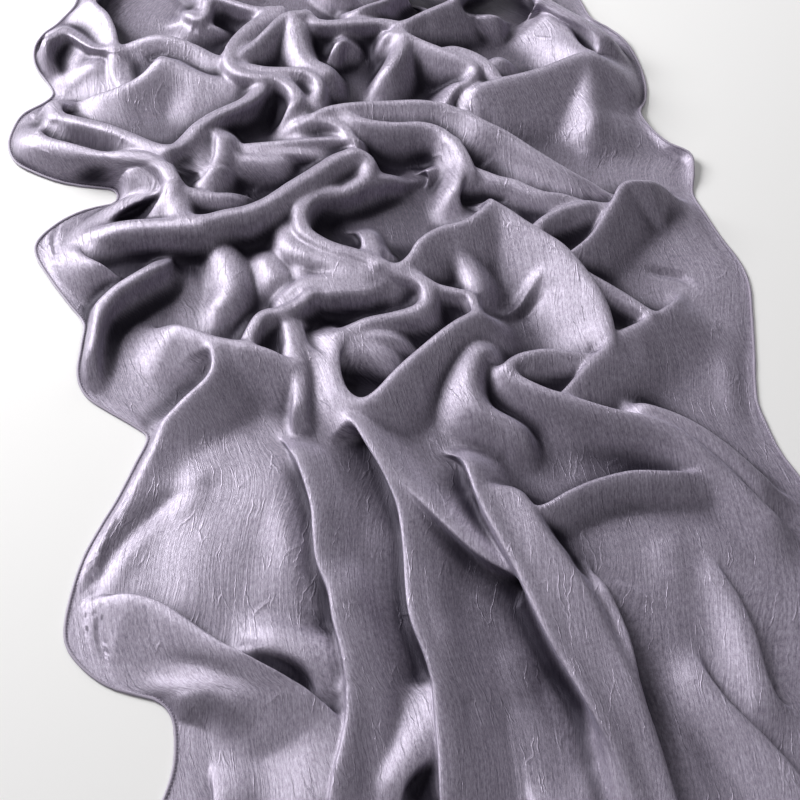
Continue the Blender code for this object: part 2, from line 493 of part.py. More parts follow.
def plan_grid(edge, spacing):
    """Points of an even grid that lie well inside the outline."""
    low, high = edge[:, :2].min(0), edge[:, :2].max(0)
    x, y = np.meshgrid(np.arange(low[0], high[0], spacing), np.arange(low[1], high[1], spacing))
    x, y = x.ravel(), y.ravel()
    distance, _ = distance_to_edge(x, y, edge)
    keep = inside(x, y, edge) & (distance > 0.5 * PROBE_SPACING)
    return x[keep], y[keep]


def triangulated(x, y, count):
    """Triangles over plan points, of which the first count are the outline."""
    points = [Vector((float(a), float(b))) for a, b in zip(x, y)]
    result = delaunay_2d_cdt(points, [], [list(range(count))], 1, 1e-4)
    flat = np.array([tuple(v) for v in result[0]])
    return flat, np.array(result[2])


def cloth_triangles(edge):
    """Plan points and triangles of the cloth, with more of them where it bends most."""
    probe_x, probe_y = plan_grid(edge, PROBE_SPACING)
    probe_z = cloth_heights(probe_x, probe_y, edge)
    start_x, start_y = plan_grid(edge, START_SPACING)
    x = np.concatenate([edge[:, 0], start_x])
    y = np.concatenate([edge[:, 1], start_y])
    batch = int(np.ceil((CLOTH_POINTS - len(x)) / REFINE_ROUNDS))
    for _ in range(REFINE_ROUNDS):
        flat, faces = triangulated(x, y, len(edge))
        z = cloth_heights(flat[:, 0], flat[:, 1], edge)
        surface = BVHTree.FromPolygons([(a, b, c) for (a, b), c in zip(flat, z)], faces.tolist())
        hits = [surface.ray_cast((a, b, PROBE_LEVEL), (0, 0, -1)) for a, b in zip(probe_x, probe_y)]
        error = np.array([abs(hit[0][2] - c) if hit[0] else 0.0 for hit, c in zip(hits, probe_z)])
        owner = np.array([hit[2] if hit[0] else -1 for hit in hits])
        order = np.argsort(-error, kind="stable")
        _, first = np.unique(owner[order], return_index=True)
        chosen = order[np.sort(first)][:batch]
        chosen = chosen[error[chosen] > SMALLEST_ERROR]
        x = np.concatenate([x, probe_x[chosen]])
        y = np.concatenate([y, probe_y[chosen]])
    return triangulated(x, y, len(edge))


def boundary_loop(faces):
    """The open edges of a sheet of triangles, as directed pairs."""
    pairs = np.concatenate([faces[:, [0, 1]], faces[:, [1, 2]], faces[:, [2, 0]]]).tolist()
    directed = {(a, b) for a, b in pairs}
    return np.array([(a, b) for a, b in pairs if (b, a) not in directed])


def satin(name, roughness):
    material = bpy.data.materials.new(name)
    material.use_nodes = True
    shader = material.node_tree.nodes["Principled BSDF"]
    shader.inputs["Base Color"].default_value = SATIN
    shader.inputs["Roughness"].default_value = roughness
    shader.inputs["Sheen Weight"].default_value = 0.25
    material.diffuse_color = SATIN
    return material


def add_piece(name, points, faces, material):
    """One named object from points in millimetres."""
    mesh = bpy.data.meshes.new(name)
    mesh.from_pydata((points * MM).tolist(), [], faces.tolist())
    mesh.materials.append(material)
    mesh.shade_smooth()
    mesh.set_sharp_from_angle(angle=np.radians(50))
    piece = bpy.data.objects.new(name, mesh)
    bpy.context.scene.collection.objects.link(piece)
    return piece


def add_panel(edge):
    """The cloth: a top sheet of triangles, the same sheet a wall lower, and the cut edge between."""
    flat, faces = cloth_triangles(edge)
    top = np.column_stack([flat, cloth_heights(flat[:, 0], flat[:, 1], edge)])
    corners = top[faces]
    face_normals = np.cross(corners[:, 1] - corners[:, 0], corners[:, 2] - corners[:, 0])
    normals = np.zeros_like(top)
    for k in range(3):
        np.add.at(normals, faces[:, k], face_normals)
    upward = normals[:, 2] / np.linalg.norm(normals, axis=1)
    bottom = top.copy()
    bottom[:, 2] = np.maximum(top[:, 2] - WALL / np.maximum(upward, STEEPEST), 0)
    rim = boundary_loop(faces)
    a, b = rim[:, 0], rim[:, 1]
    count = len(top)
    walls = np.concatenate([np.column_stack([b, a, a + count]), np.column_stack([b, a + count, b + count])])
    every = np.concatenate([faces, faces[:, ::-1] + count, walls])
    return add_piece("scarf_panel", np.vstack([top, bottom]), every, satin("crinkle satin", SATIN_ROUGHNESS))


def outward(edge):
    """The mitred outward direction at each point of the closed outline."""
    ahead = np.roll(edge, -1, axis=0)[:, :2] - edge[:, :2]
    ahead /= np.linalg.norm(ahead, axis=1, keepdims=True)
    behind = np.roll(ahead, 1, axis=0)
    normal = np.column_stack([ahead[:, 1], -ahead[:, 0]])
    previous = np.column_stack([behind[:, 1], -behind[:, 0]])
    mitre = normal + previous
    return 2 * mitre / (mitre**2).sum(1, keepdims=True)


def add_hem(name, edge, first, last, material):
    """A narrow rolled hem outside one side of the outline, with a rounded hexagon for its section."""
    index = np.arange(first, last + 1) % len(edge)
    direction = outward(edge)[index]
    points = edge[index]
    run = np.diff(points[:, :2], axis=0)
    run /= np.linalg.norm(run, axis=1, keepdims=True)
    base = points[:, :2].copy()
    base[0] += SEAM_GAP * run[0]
    base[-1] -= SEAM_GAP * run[-1]
    near, far = SEAM_GAP, SEAM_GAP + HEM_WIDTH
    section = [
        (near, HEM_CORNER), (near + HEM_CORNER, 0), (far - HEM_CORNER, 0),
        (far, HEM_CORNER), (far - HEM_CORNER, HEM_HEIGHT), (near, HEM_HEIGHT - HEM_LEAN),
    ]
    rings = [np.column_stack([base + out * direction, points[:, 2] + up]) for out, up in section]
    sides = len(section)
    grid = np.arange(len(points) * sides).reshape(len(points), sides)
    around = np.roll(grid, -1, axis=1)
    quads = np.stack([grid[:-1], grid[1:], around[1:], around[:-1]], -1).reshape(-1, 4)
    faces = np.concatenate([quads[:, [0, 1, 2]], quads[:, [0, 2, 3]]])
    fan = np.arange(1, sides - 1)
    cap = np.column_stack([np.zeros_like(fan), fan, fan + 1])
    caps = np.concatenate([cap, cap[:, ::-1] + grid[-1, 0]])
    verts = np.stack(rings, 1).reshape(-1, 3)
    return add_piece(name, verts, np.concatenate([faces, caps]), material)


def centre_pieces(pieces):
    """Moves every piece so that the middle of their common box is over the origin."""
    corners = np.array([corner for piece in pieces for corner in piece.bound_box])
    middle = 0.5 * (corners.min(0) + corners.max(0))
    for piece in pieces:
        for vertex in piece.data.vertices:
            vertex.co.x -= middle[0]
            vertex.co.y -= middle[1]


for old in list(bpy.data.objects):
    bpy.data.objects.remove(old)

CRESTS = crest_paths()
edge, corners = outline()
pieces = [add_panel(edge)]
hem_satin = satin("hem satin", HEM_ROUGHNESS)
for side, name in enumerate(("hem_left", "hem_near", "hem_right", "hem_far")):
    pieces.append(add_hem(name, edge, corners[side], corners[side + 1], hem_satin))
centre_pieces(pieces)
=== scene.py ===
"""A satin scarf laid out in loose folds on a pale floor, seen from the front at 50 degrees."""

import bpy
import numpy as np
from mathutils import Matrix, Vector


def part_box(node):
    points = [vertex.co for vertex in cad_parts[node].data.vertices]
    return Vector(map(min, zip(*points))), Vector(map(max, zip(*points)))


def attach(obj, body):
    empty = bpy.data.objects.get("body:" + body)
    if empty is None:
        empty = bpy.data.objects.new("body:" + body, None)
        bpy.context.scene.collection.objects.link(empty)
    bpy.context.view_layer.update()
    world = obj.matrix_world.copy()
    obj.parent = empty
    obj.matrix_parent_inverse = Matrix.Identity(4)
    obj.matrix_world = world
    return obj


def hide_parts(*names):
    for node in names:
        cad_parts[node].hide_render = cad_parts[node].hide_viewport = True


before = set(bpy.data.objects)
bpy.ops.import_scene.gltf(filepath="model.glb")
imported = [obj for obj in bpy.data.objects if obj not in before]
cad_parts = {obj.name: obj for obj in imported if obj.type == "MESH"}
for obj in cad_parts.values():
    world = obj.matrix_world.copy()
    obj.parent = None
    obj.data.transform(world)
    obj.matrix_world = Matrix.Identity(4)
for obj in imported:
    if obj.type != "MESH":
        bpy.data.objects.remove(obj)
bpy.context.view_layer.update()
for old in list(bpy.data.materials):
    if old.users == 0:
        bpy.data.materials.remove(old)

# The cloth
# One length of crinkled satin, 0.70 by 1.80 m, laid out and pushed together from both ends, so that
# it stands in folds. Each fold is a crest line with a height and a width on either side, and the
# cloth lies over the softened maximum of them all. Lengths are millimetres until the mesh is made.
MM = 0.001
FLAT_WIDTH = 700.0
FLAT_LENGTH = 1800.0
WALL = 1.6
SHELL = 0.9
ROWS = 613
COLUMNS = 366
STRETCHES = 5

# Edges and crests are smooth paths with points about this far apart.
EDGE_STEP = 6.0
CREST_STEP = 8.0

# How a fold falls away from its crest: narrow sides are round and broad ones are hollow.
SOFT_VALLEY = 2.2
CREST_ROUNDING = 5.0
NARROW_SIDE = 15.0
BROAD_SIDE = 42.0
NARROW_SHOULDER = 2.0
BROAD_SHOULDER = 1.15
NARROW_FOOT = 0.62
BROAD_FOOT = 1.45

# A free end of a crest fades out. One that meets a crest about as high keeps its height.
FADE = 48.0
FADE_SHARE = 0.45
FADED_TO = 0.3
JOINED = 13.0
LEVEL_WITH = 9.0

# How far a steep side is drawn in under its crest, well away from the cloth's edge.
STEEP_SIDE = 18.0
OVERHANG = 7.0
ONE_SIDED = 16.0
TUCK_REACH = 1.7
PAST_JOINT = 0.5
FULL_TUCK = 20.0
FULL_DROP = 0.45
LEAST_DROP = 4.0
EDGE_CLEAR = 34.0

# From its edge the cloth rises over the margin, and the heap lies on a gentle swell.
MARGIN = 16.0
SWELL = 9.0
SWELL_REACH = 40.0
PLAIN_UP_TO = -360.0
GATHERED_OVER = 180.0

# The cloth spans hollows with a little sag, and the near pleats are crisper than the heap.
SAG = 0.2
SAG_PASSES = 140
CRISP_UP_TO = -150.0
SOFT_FROM = -60.0

# The edges' waves die away inwards over these lengths.
CALM_REACH = 80.0
SIDE_WAVE = 110.0
END_WAVE = 60.0

# Grid steps between the points where the edge is looked for first, and over which lengths are evened.
COARSE_ROWS = 6
COARSE_COLUMNS = 5
LENGTHS_EVENED = 12
CUT_EVENED = 24

# Seed, size across, size along and height of the loose cloth's soft waves, and of the sway that bends them.
NOISE_CELLS = 511
SWAY = (11, 160.0, 200.0, 8.0)
WAVES = [(12, 48.0, 95.0, 1.6), (13, 21.0, 60.0, 0.45), (14, 9.0, 38.0, 0.07)]

# Reach in grid steps, depth and strength of the painted shade that darkens the cloth's colour in
# small, middling and broad hollows.
HOLLOWS = [(5, 5.5, 1.0), (11, 13.0, 1.0), (26, 20.0, 0.75)]

# A crease rises over this share of its length from each end, where it keeps a little of its height.
CREASE_RISE = 0.4
CREASE_END = 0.15

# Crest lines and edges were measured along the line of sight, on a level above
# the surface. A point of another height lies nearer to or further from it.
EYE = (0.0, -1001.5, 1193.5)
MEASURED_LEVEL = 30.0

# One row for each fold: its name, the widths of its left and right side, and its crest points as x, y
# and height. Walking along the crest, the left side is on the left hand.
FOLDS = [
    ("corner curl", 16, 7, [(-412, 568, 30), (-432, 548, 34), (-434, 520, 30), (-424, 488, 18),
     (-408, 466, 8)]),
    ("corner flap edge", 10, 60, [(-384, 624, 34), (-362, 596, 38), (-349, 560, 38), (-346, 530, 34)]),
    ("corner flap front", 6, 50, [(-346, 530, 34), (-372, 532, 32), (-400, 556, 30), (-418, 568, 28)]),
    ("corner tip left", 10, 26, [(-406, 464, 5), (-385, 480, 14), (-366, 497, 24)]),
    ("corner tip right", 12, 30, [(-366, 497, 24), (-346, 478, 20), (-326, 464, 22)]),
    ("corner rib", 20, 14, [(-341, 532, 34), (-342, 505, 30), (-334, 478, 25), (-320, 462, 24)]),
    ("corner fill", 30, 30, [(-398, 545, 20), (-384, 520, 20), (-380, 496, 16)]),
    ("arch", 14, 60, [(-335, 528, 30), (-312, 548, 36), (-288, 552, 38), (-260, 541, 37), (-234, 522, 34),
     (-208, 492, 30)]),
    ("bowl back left", 16, 90, [(-398, 428, 16), (-360, 438, 22), (-330, 453, 28), (-303, 478, 34),
     (-284, 508, 40)]),
    ("bowl back right", 40, 90, [(-284, 508, 40), (-262, 496, 38), (-240, 480, 35), (-205, 464, 32),
     (-175, 455, 30)]),
    ("bowl front", 17, 14, [(-404, 422, 22), (-392, 404, 30), (-350, 388, 35), (-315, 371, 37),
     (-284, 353, 39), (-262, 344, 40)]),
    ("bowl right", 20, 14, [(-262, 344, 40), (-246, 358, 40), (-230, 386, 40), (-206, 411, 40),
     (-180, 430, 40), (-165, 448, 40), (-158, 470, 40)]),
    ("lobe crest", 14, 58, [(-420, 408, 16), (-420, 385, 24), (-405, 364, 30), (-368, 348, 33),
     (-330, 333, 34), (-298, 319, 34), (-266, 300, 32)]),
    ("lobe rib", 14, 20, [(-400, 426, 26), (-398, 402, 27), (-391, 370, 24)]),
    ("s roll top", 16, 16, [(-338, 332, 32), (-312, 340, 40), (-286, 335, 42), (-264, 319, 42),
     (-255, 300, 42), (-254, 278, 40), (-260, 256, 36), (-274, 238, 32), (-296, 228, 28)]),
    ("neck down", 26, 20, [(-250, 292, 38), (-247, 268, 38), (-243, 248, 38), (-235, 232, 38)]),
    ("hem loop", 12, 12, [(-345, 286, 4), (-325, 296, 14), (-310, 302, 20), (-302, 292, 18),
     (-303, 270, 10), (-309, 250, 5)]),
    ("under flap", 8, 22, [(-262, 284, 26), (-280, 268, 22), (-302, 252, 18), (-318, 232, 15),
     (-333, 208, 14), (-338, 186, 14)]),
    ("roll left", 26, 22, [(-338, 184, 14), (-330, 204, 22), (-308, 219, 32), (-280, 225, 38),
     (-245, 226, 42), (-215, 226, 44)]),
    ("roll middle", 20, 24, [(-235, 232, 40), (-212, 232, 44), (-190, 242, 46), (-165, 250, 46),
     (-142, 264, 46), (-118, 288, 46), (-92, 312, 46), (-70, 334, 46), (-52, 343, 46)]),
    ("roll tip", 14, 16, [(-52, 343, 46), (-40, 338, 44), (-33, 322, 42), (-38, 302, 38), (-52, 288, 34)]),
    ("crinkled panel", 10, 22, [(-245, 284, 32), (-218, 274, 32), (-195, 272, 32), (-172, 284, 33),
     (-162, 272, 32)]),
    ("outer lobe hem", 10, 40, [(-366, 206, 10), (-350, 188, 18), (-334, 170, 22), (-310, 158, 25),
     (-288, 142, 27)]),
    ("side roll", 15, 15, [(-262, 202, 34), (-254, 184, 37), (-258, 164, 38), (-274, 148, 38),
     (-294, 130, 37), (-307, 108, 34), (-313, 84, 31), (-314, 50, 28), (-312, 20, 24), (-310, 0, 18),
     (-304, -14, 9)]),
    ("panel back", 13, 75, [(-268, 78, 22), (-245, 76, 30), (-215, 68, 35), (-190, 57, 38), (-165, 51, 39),
     (-150, 46, 39), (-130, 37, 37), (-110, 22, 33)]),
    ("panel edge", 70, 8, [(-188, 45, 39), (-185, 26, 38), (-189, 8, 36), (-202, -10, 32), (-216, -28, 27),
     (-228, -50, 22), (-236, -75, 18), (-244, -105, 15), (-256, -145, 12), (-268, -176, 10),
     (-279, -212, 9), (-285, -250, 8)]),
    ("rib a", 30, 30, [(-200, 210, 21), (-190, 189, 26), (-180, 165, 28), (-175, 137, 28), (-180, 104, 26),
     (-187, 62, 21)]),
    ("rib b", 26, 24, [(-157, 210, 21), (-145, 186, 25), (-135, 162, 27), (-126, 133, 27),
     (-122, 98, 24)]),
    ("rib c", 16, 14, [(-118, 189, 24), (-108, 165, 27), (-99, 143, 29), (-92, 118, 30)]),
    ("loop edge", 14, 14, [(-156, 46, 36), (-149, 74, 38), (-140, 92, 38), (-122, 97, 38), (-104, 108, 38),
     (-94, 120, 38)]),
    ("loop fill", 26, 26, [(-136, 58, 27), (-126, 72, 27)]),
    ("tube", 14, 14, [(-150, 613, 38), (-176, 590, 40), (-196, 560, 42), (-206, 530, 42), (-204, 502, 42),
     (-190, 483, 42), (-170, 477, 44), (-148, 475, 44), (-131, 464, 44), (-121, 444, 44), (-124, 422, 44),
     (-136, 402, 42), (-156, 395, 40)]),
    ("swirl outer", 11, 11, [(-185, 497, 40), (-160, 492, 42), (-130, 492, 44), (-106, 484, 44),
     (-94, 462, 42), (-98, 438, 38), (-108, 412, 32)]),
    ("kite left", 14, 50, [(-190, 503, 36), (-188, 522, 40), (-172, 546, 43), (-158, 570, 45),
     (-142, 597, 46), (-120, 602, 46)]),
    ("kite ridge", 26, 30, [(-132, 596, 46), (-128, 572, 44), (-125, 545, 42), (-116, 516, 40),
     (-104, 502, 40), (-92, 494, 40), (-88, 474, 40), (-82, 450, 36), (-76, 428, 30)]),
    ("back arch", 16, 14, [(-118, 600, 42), (-100, 582, 42), (-60, 583, 43), (-20, 584, 44),
     (2, 578, 44)]),
    ("back ridge", 14, 60, [(-8, 560, 44), (20, 592, 48), (45, 612, 50), (68, 628, 50)]),
    ("ring", 10, 10, [(-84, 498, 30), (-79, 528, 36), (-66, 552, 40), (-44, 560, 42)]),
    ("ring fill", 24, 24, [(-64, 532, 28), (-56, 516, 27)]),
    ("tongue top", 10, 44, [(-36, 546, 44), (-28, 556, 46), (-8, 561, 47), (8, 556, 47), (30, 540, 46),
     (52, 525, 46), (76, 510, 46), (90, 494, 44), (84, 474, 42), (68, 458, 38), (58, 440, 34)]),
    ("tongue rib", 40, 22, [(6, 556, 46), (6, 540, 46), (0, 518, 44), (-9, 496, 42), (-18, 474, 40),
     (-25, 452, 36), (-28, 432, 30)]),
    ("arc roll", 10, 11, [(44, 528, 38), (64, 533, 42), (86, 523, 43), (103, 506, 43), (114, 485, 41),
     (116, 466, 36)]),
    ("arc outer", 30, 14, [(95, 528, 32), (120, 505, 34), (138, 484, 34)]),
    ("back right ridge", 24, 60, [(112, 628, 46), (112, 600, 38), (108, 570, 26), (100, 545, 16)]),
    ("back right crest", 14, 75, [(150, 628, 36), (176, 600, 37), (196, 570, 37), (208, 545, 38),
     (226, 522, 40)]),
    ("back right outer", 26, 14, [(176, 628, 44), (205, 600, 44), (228, 580, 42), (246, 555, 38),
     (256, 530, 34), (262, 500, 30)]),
    ("right flap", 14, 110, [(56, 422, 34), (59, 438, 38), (78, 443, 41), (96, 458, 43), (116, 468, 45),
     (146, 480, 46), (176, 494, 46), (198, 506, 46), (218, 517, 46), (230, 516, 42)]),
    ("flap ridge", 80, 80, [(226, 512, 42), (222, 470, 36), (218, 430, 31), (222, 400, 27), (214, 368, 24),
     (204, 338, 20)]),
    ("long fold", 12, 60, [(-114, 390, 36), (-100, 405, 40), (-78, 421, 44), (-40, 428, 46), (8, 430, 48),
     (45, 425, 48), (74, 411, 48), (96, 393, 48), (122, 374, 46), (150, 346, 43), (186, 310, 38),
     (210, 288, 32), (228, 264, 24)]),
    ("hood", 12, 34, [(-66, 412, 42), (-46, 398, 43), (-10, 391, 44), (24, 390, 44), (48, 379, 44),
     (63, 356, 44), (70, 330, 42), (67, 300, 40), (60, 270, 38), (48, 236, 36)]),
    ("hood second", 12, 12, [(66, 362, 42), (76, 332, 42), (82, 306, 40), (92, 282, 38), (104, 262, 36)]),
    ("eye loop", 12, 11, [(-114, 388, 34), (-98, 396, 38), (-78, 394, 40), (-64, 384, 40), (-57, 370, 40),
     (-50, 360, 38)]),
    ("strand a", 8, 9, [(-196, 352, 24), (-160, 357, 30), (-120, 361, 34), (-84, 364, 36),
     (-54, 362, 36)]),
    ("strand b", 9, 11, [(-190, 342, 26), (-150, 346, 29), (-110, 341, 30), (-70, 337, 28), (-40, 330, 26),
     (-10, 320, 26)]),
    ("strand c", 12, 30, [(-196, 330, 28), (-160, 332, 30), (-125, 325, 30), (-100, 310, 28)]),
    ("v fold", 26, 13, [(-180, 400, 38), (-196, 398, 41), (-203, 384, 41), (-204, 362, 40),
     (-204, 340, 38), (-208, 316, 36), (-213, 294, 30)]),
    ("v left", 14, 14, [(-232, 380, 34), (-226, 350, 32), (-224, 322, 30), (-216, 296, 28)]),
    ("bowl peak", 18, 13, [(16, 333, 40), (2, 318, 37), (-20, 303, 35), (-42, 289, 35), (-62, 280, 35),
     (-86, 276, 36), (-101, 266, 38), (-109, 248, 40), (-109, 230, 40), (-104, 215, 40), (-90, 201, 40),
     (-70, 188, 40), (-45, 178, 40), (-22, 164, 40)]),
    ("bowl lip", 15, 14, [(-22, 164, 40), (0, 153, 40), (20, 143, 40), (30, 128, 40), (27, 110, 38),
     (14, 98, 36), (-10, 89, 35), (-36, 80, 34), (-58, 66, 30)]),
    ("outer rim", 11, 20, [(-116, 244, 28), (-120, 222, 31), (-118, 202, 34), (-108, 188, 36),
     (-80, 173, 37), (-50, 159, 37), (-31, 147, 37), (-21, 135, 37), (-26, 124, 35), (-44, 116, 32)]),
    ("rim panel", 12, 8, [(-109, 110, 30), (-96, 127, 33), (-76, 131, 34), (-55, 133, 34), (-38, 134, 34),
     (-27, 141, 34)]),
    ("inner rib", 22, 12, [(-50, 238, 24), (-43, 224, 29), (-36, 202, 33), (-29, 180, 37),
     (-22, 164, 40)]),
    ("dark rib", 24, 9, [(26, 330, 30), (34, 312, 26), (38, 296, 22)]),
    ("kite crest", 12, 90, [(-20, 160, 38), (0, 163, 41), (14, 180, 43), (22, 198, 44), (45, 218, 46),
     (70, 228, 47), (90, 245, 48), (101, 258, 48)]),
    ("kite crest right", 10, 90, [(101, 258, 48), (116, 248, 48), (134, 230, 48), (152, 212, 48),
     (172, 192, 48), (190, 162, 47), (205, 126, 45), (213, 96, 42), (214, 62, 38), (208, 42, 33)]),
    ("kite inner", 40, 30, [(45, 216, 38), (62, 188, 34), (76, 160, 32), (82, 135, 32), (78, 112, 33),
     (73, 92, 33)]),
    ("hollow rim", 12, 8, [(22, 142, 38), (42, 130, 38), (62, 123, 39), (73, 120, 40), (76, 105, 40),
     (72, 90, 40)]),
    ("major crest", 15, 70, [(-62, 62, 33), (-66, 34, 33), (-63, 6, 32), (-55, -15, 32), (-39, -26, 33),
     (-22, -15, 35), (-5, 8, 38), (16, 34, 41), (40, 60, 43), (62, 81, 44), (80, 92, 43)]),
    ("small bowl back", 10, 22, [(-60, 61, 33), (-36, 48, 31), (-10, 41, 31), (12, 42, 33)]),
    ("crinkled roll", 8, 9, [(-58, 64, 28), (-30, 62, 32), (0, 62, 33), (24, 66, 34)]),
    ("neck", 14, 12, [(-118, 94, 36), (-110, 70, 34), (-104, 42, 33), (-99, 15, 31), (-98, -15, 29),
     (-98, -45, 27), (-90, -75, 24)]),
    ("neck right", 8, 24, [(-100, 76, 30), (-92, 46, 30), (-78, 30, 30), (-68, 10, 29), (-58, -22, 28),
     (-46, -50, 28)]),
    ("pleat a", 62, 7, [(-113, -48, 27), (-104, -80, 30), (-95, -100, 31), (-87, -124, 31),
     (-80, -152, 30), (-77, -182, 29), (-73, -212, 28), (-62, -242, 27), (-57, -272, 26), (-49, -302, 25),
     (-44, -332, 24), (-42, -362, 23), (-45, -392, 22), (-52, -430, 20), (-58, -500, 14), (-64, -575, 7)]),
    ("pleat b", 66, 7, [(-42, -55, 32), (-30, -80, 33), (-17, -106, 33), (-8, -128, 32), (0, -152, 31),
     (4, -182, 30), (6, -212, 29), (8, -250, 28), (12, -276, 28), (22, -305, 27), (29, -332, 26),
     (32, -362, 25), (34, -400, 24), (35, -440, 22), (38, -510, 15), (40, -578, 7)]),
    ("pleat c", 50, 7, [(-44, -48, 33), (-20, -92, 33), (0, -118, 32), (20, -143, 31), (50, -180, 29),
     (80, -213, 27), (106, -237, 24)]),
    ("pleat d", 60, 8, [(44, -66, 29), (58, -84, 34), (66, -108, 37), (74, -138, 38), (90, -180, 37),
     (104, -214, 36), (116, -250, 35), (131, -292, 33), (150, -334, 31), (164, -364, 29), (178, -396, 26),
     (190, -440, 22), (200, -500, 15), (206, -575, 7)]),
    ("pleat d body", 14, 16, [(96, -150, 33), (112, -186, 34), (132, -222, 33), (150, -260, 31),
     (163, -300, 29), (176, -340, 27), (188, -385, 24), (197, -430, 20), (208, -500, 14), (216, -575, 6)]),
    ("pleat d right", 9, 50, [(158, -205, 22), (170, -222, 24), (181, -243, 25), (190, -270, 24),
     (197, -302, 23), (200, -342, 22), (203, -382, 21), (209, -424, 19), (220, -500, 13), (228, -578, 6)]),
    ("pleat e", 12, 30, [(32, -346, 18), (26, -374, 17), (15, -400, 16), (0, -424, 15), (-14, -470, 12)]),
    ("pleat f", 14, 10, [(168, -368, 16), (178, -398, 16), (190, -440, 15)]),
    ("turned edge", 9, 70, [(-284, -264, 9), (-262, -254, 13), (-240, -250, 17), (-214, -258, 20),
     (-190, -275, 22), (-160, -298, 23), (-130, -317, 23), (-100, -335, 22), (-75, -352, 21),
     (-60, -372, 19), (-55, -402, 17), (-57, -440, 15)]),
    ("turned back", 26, 14, [(-152, -290, 9), (-130, -287, 12), (-100, -296, 14), (-75, -310, 14),
     (-60, -327, 12), (-50, -347, 10)]),
    ("near hem rise", 24, 22, [(-235, -345, 5), (-205, -346, 9), (-178, -346, 11), (-158, -350, 11),
     (-144, -362, 9)]),
    ("right lobe top", 9, 60, [(186, 182, 30), (206, 206, 34), (222, 235, 38), (236, 264, 41),
     (247, 288, 43), (266, 292, 41), (290, 289, 35), (306, 277, 27), (318, 262, 16)]),
    ("pocket arch", 10, 24, [(147, 214, 40), (152, 230, 42), (165, 242, 42), (184, 252, 42),
     (204, 258, 40), (226, 258, 32)]),
    ("thin roll", 10, 9, [(150, 218, 40), (166, 196, 38), (186, 172, 36), (214, 140, 34), (238, 112, 32),
     (258, 90, 30)]),
    ("pocket back", 10, 30, [(84, 318, 34), (104, 302, 38), (126, 294, 40), (146, 280, 40), (160, 273, 40),
     (180, 271, 39), (200, 262, 36)]),
    ("right crest", 90, 10, [(304, 132, 20), (286, 108, 24), (265, 90, 28), (245, 76, 31), (216, 53, 35),
     (200, 36, 37), (184, 16, 38), (170, -2, 38), (158, -16, 36)]),
    ("bowl two back", 12, 24, [(108, 20, 39), (120, 33, 39), (145, 40, 38), (168, 38, 36), (188, 36, 34)]),
    ("bowl two front", 12, 46, [(108, 20, 39), (112, 8, 39), (130, -5, 40), (152, -16, 41), (178, -26, 41),
     (205, -36, 40), (236, -46, 38), (256, -57, 36), (272, -70, 34), (292, -93, 31), (312, -118, 28),
     (332, -148, 25), (356, -182, 20), (374, -205, 12)]),
    ("diagonal roll", 11, 12, [(196, -20, 32), (216, -18, 34), (240, -29, 34), (265, -41, 34),
     (290, -60, 33), (316, -88, 30), (345, -125, 22), (372, -160, 12)]),
    ("s ridge", 19, 48, [(98, 84, 34), (85, 55, 36), (73, 30, 38), (68, 6, 39), (70, -16, 38),
     (80, -37, 36), (110, -63, 30), (114, -87, 23), (113, -110, 15), (110, -132, 9)]),
    ("band crest", 8, 38, [(74, -132, 28), (92, -150, 28), (112, -157, 28), (134, -152, 29),
     (158, -136, 30), (188, -121, 31), (218, -113, 31), (250, -113, 30), (282, -116, 24), (310, -122, 15),
     (332, -132, 8)]),
    ("near right ridge", 10, 44, [(238, -292, 4), (254, -324, 10), (274, -358, 14), (300, -392, 14),
     (324, -432, 12), (348, -490, 9), (366, -570, 6)]),
    ("near right swell", 14, 40, [(256, -196, 10), (276, -220, 12), (292, -250, 13), (302, -290, 13),
     (306, -330, 12), (314, -358, 11), (336, -382, 9)]),
    ("far loop", 10, 12, [(-268, 640, 30), (-264, 612, 32), (-256, 596, 32), (-247, 590, 32),
     (-241, 600, 33), (-238, 625, 34), (-225, 632, 36), (-205, 624, 37), (-180, 613, 38),
     (-150, 613, 38)]),
    ("far valley a", 10, 14, [(-300, 600, 20), (-272, 594, 24), (-245, 580, 26), (-215, 572, 26),
     (-190, 570, 24)]),
    ("far valley b", 10, 14, [(-300, 580, 16), (-270, 566, 20), (-240, 558, 20), (-212, 548, 20)]),
    ("hole ring", 8, 8, [(2, 578, 44), (22, 590, 46), (32, 604, 44), (34, 625, 40), (30, 650, 36)]),
    ("far small", 8, 12, [(-70, 640, 40), (-66, 620, 42), (-58, 604, 42), (-40, 615, 44), (-20, 628, 44),
     (0, 650, 40)]),
    ("far roll a", 14, 30, [(-306, 735, 22), (-272, 700, 32), (-250, 672, 36), (-238, 645, 36),
     (-238, 625, 34)]),
    ("far roll b", 16, 34, [(-140, 765, 18), (-118, 725, 30), (-96, 690, 38), (-70, 660, 40),
     (-40, 640, 40)]),
    ("far roll c", 40, 14, [(68, 628, 50), (95, 665, 46), (108, 705, 38), (104, 752, 22)]),
    ("far roll d", 30, 14, [(0, 650, 40), (12, 690, 38), (4, 730, 30), (-10, 765, 16)]),
    ("far fold e", 40, 12, [(-384, 624, 34), (-374, 662, 30), (-352, 704, 22), (-330, 745, 10)]),
    ("far fold f", 16, 40, [(176, 628, 44), (160, 668, 36), (158, 710, 26), (150, 755, 12)]),
    ("far fold g", 20, 24, [(-190, 640, 36), (-196, 680, 32), (-206, 720, 26), (-222, 762, 12)]),
    ("near left pleat", 50, 7, [(-150, -400, 8), (-146, -450, 12), (-150, -510, 11), (-156, -575, 6)]),
    ("near mid pleat", 50, 7, [(110, -420, 9), (116, -470, 12), (122, -520, 10), (124, -575, 6)]),
    ("near right pleat", 40, 8, [(300, -470, 10), (306, -520, 10), (304, -575, 6)]),
]

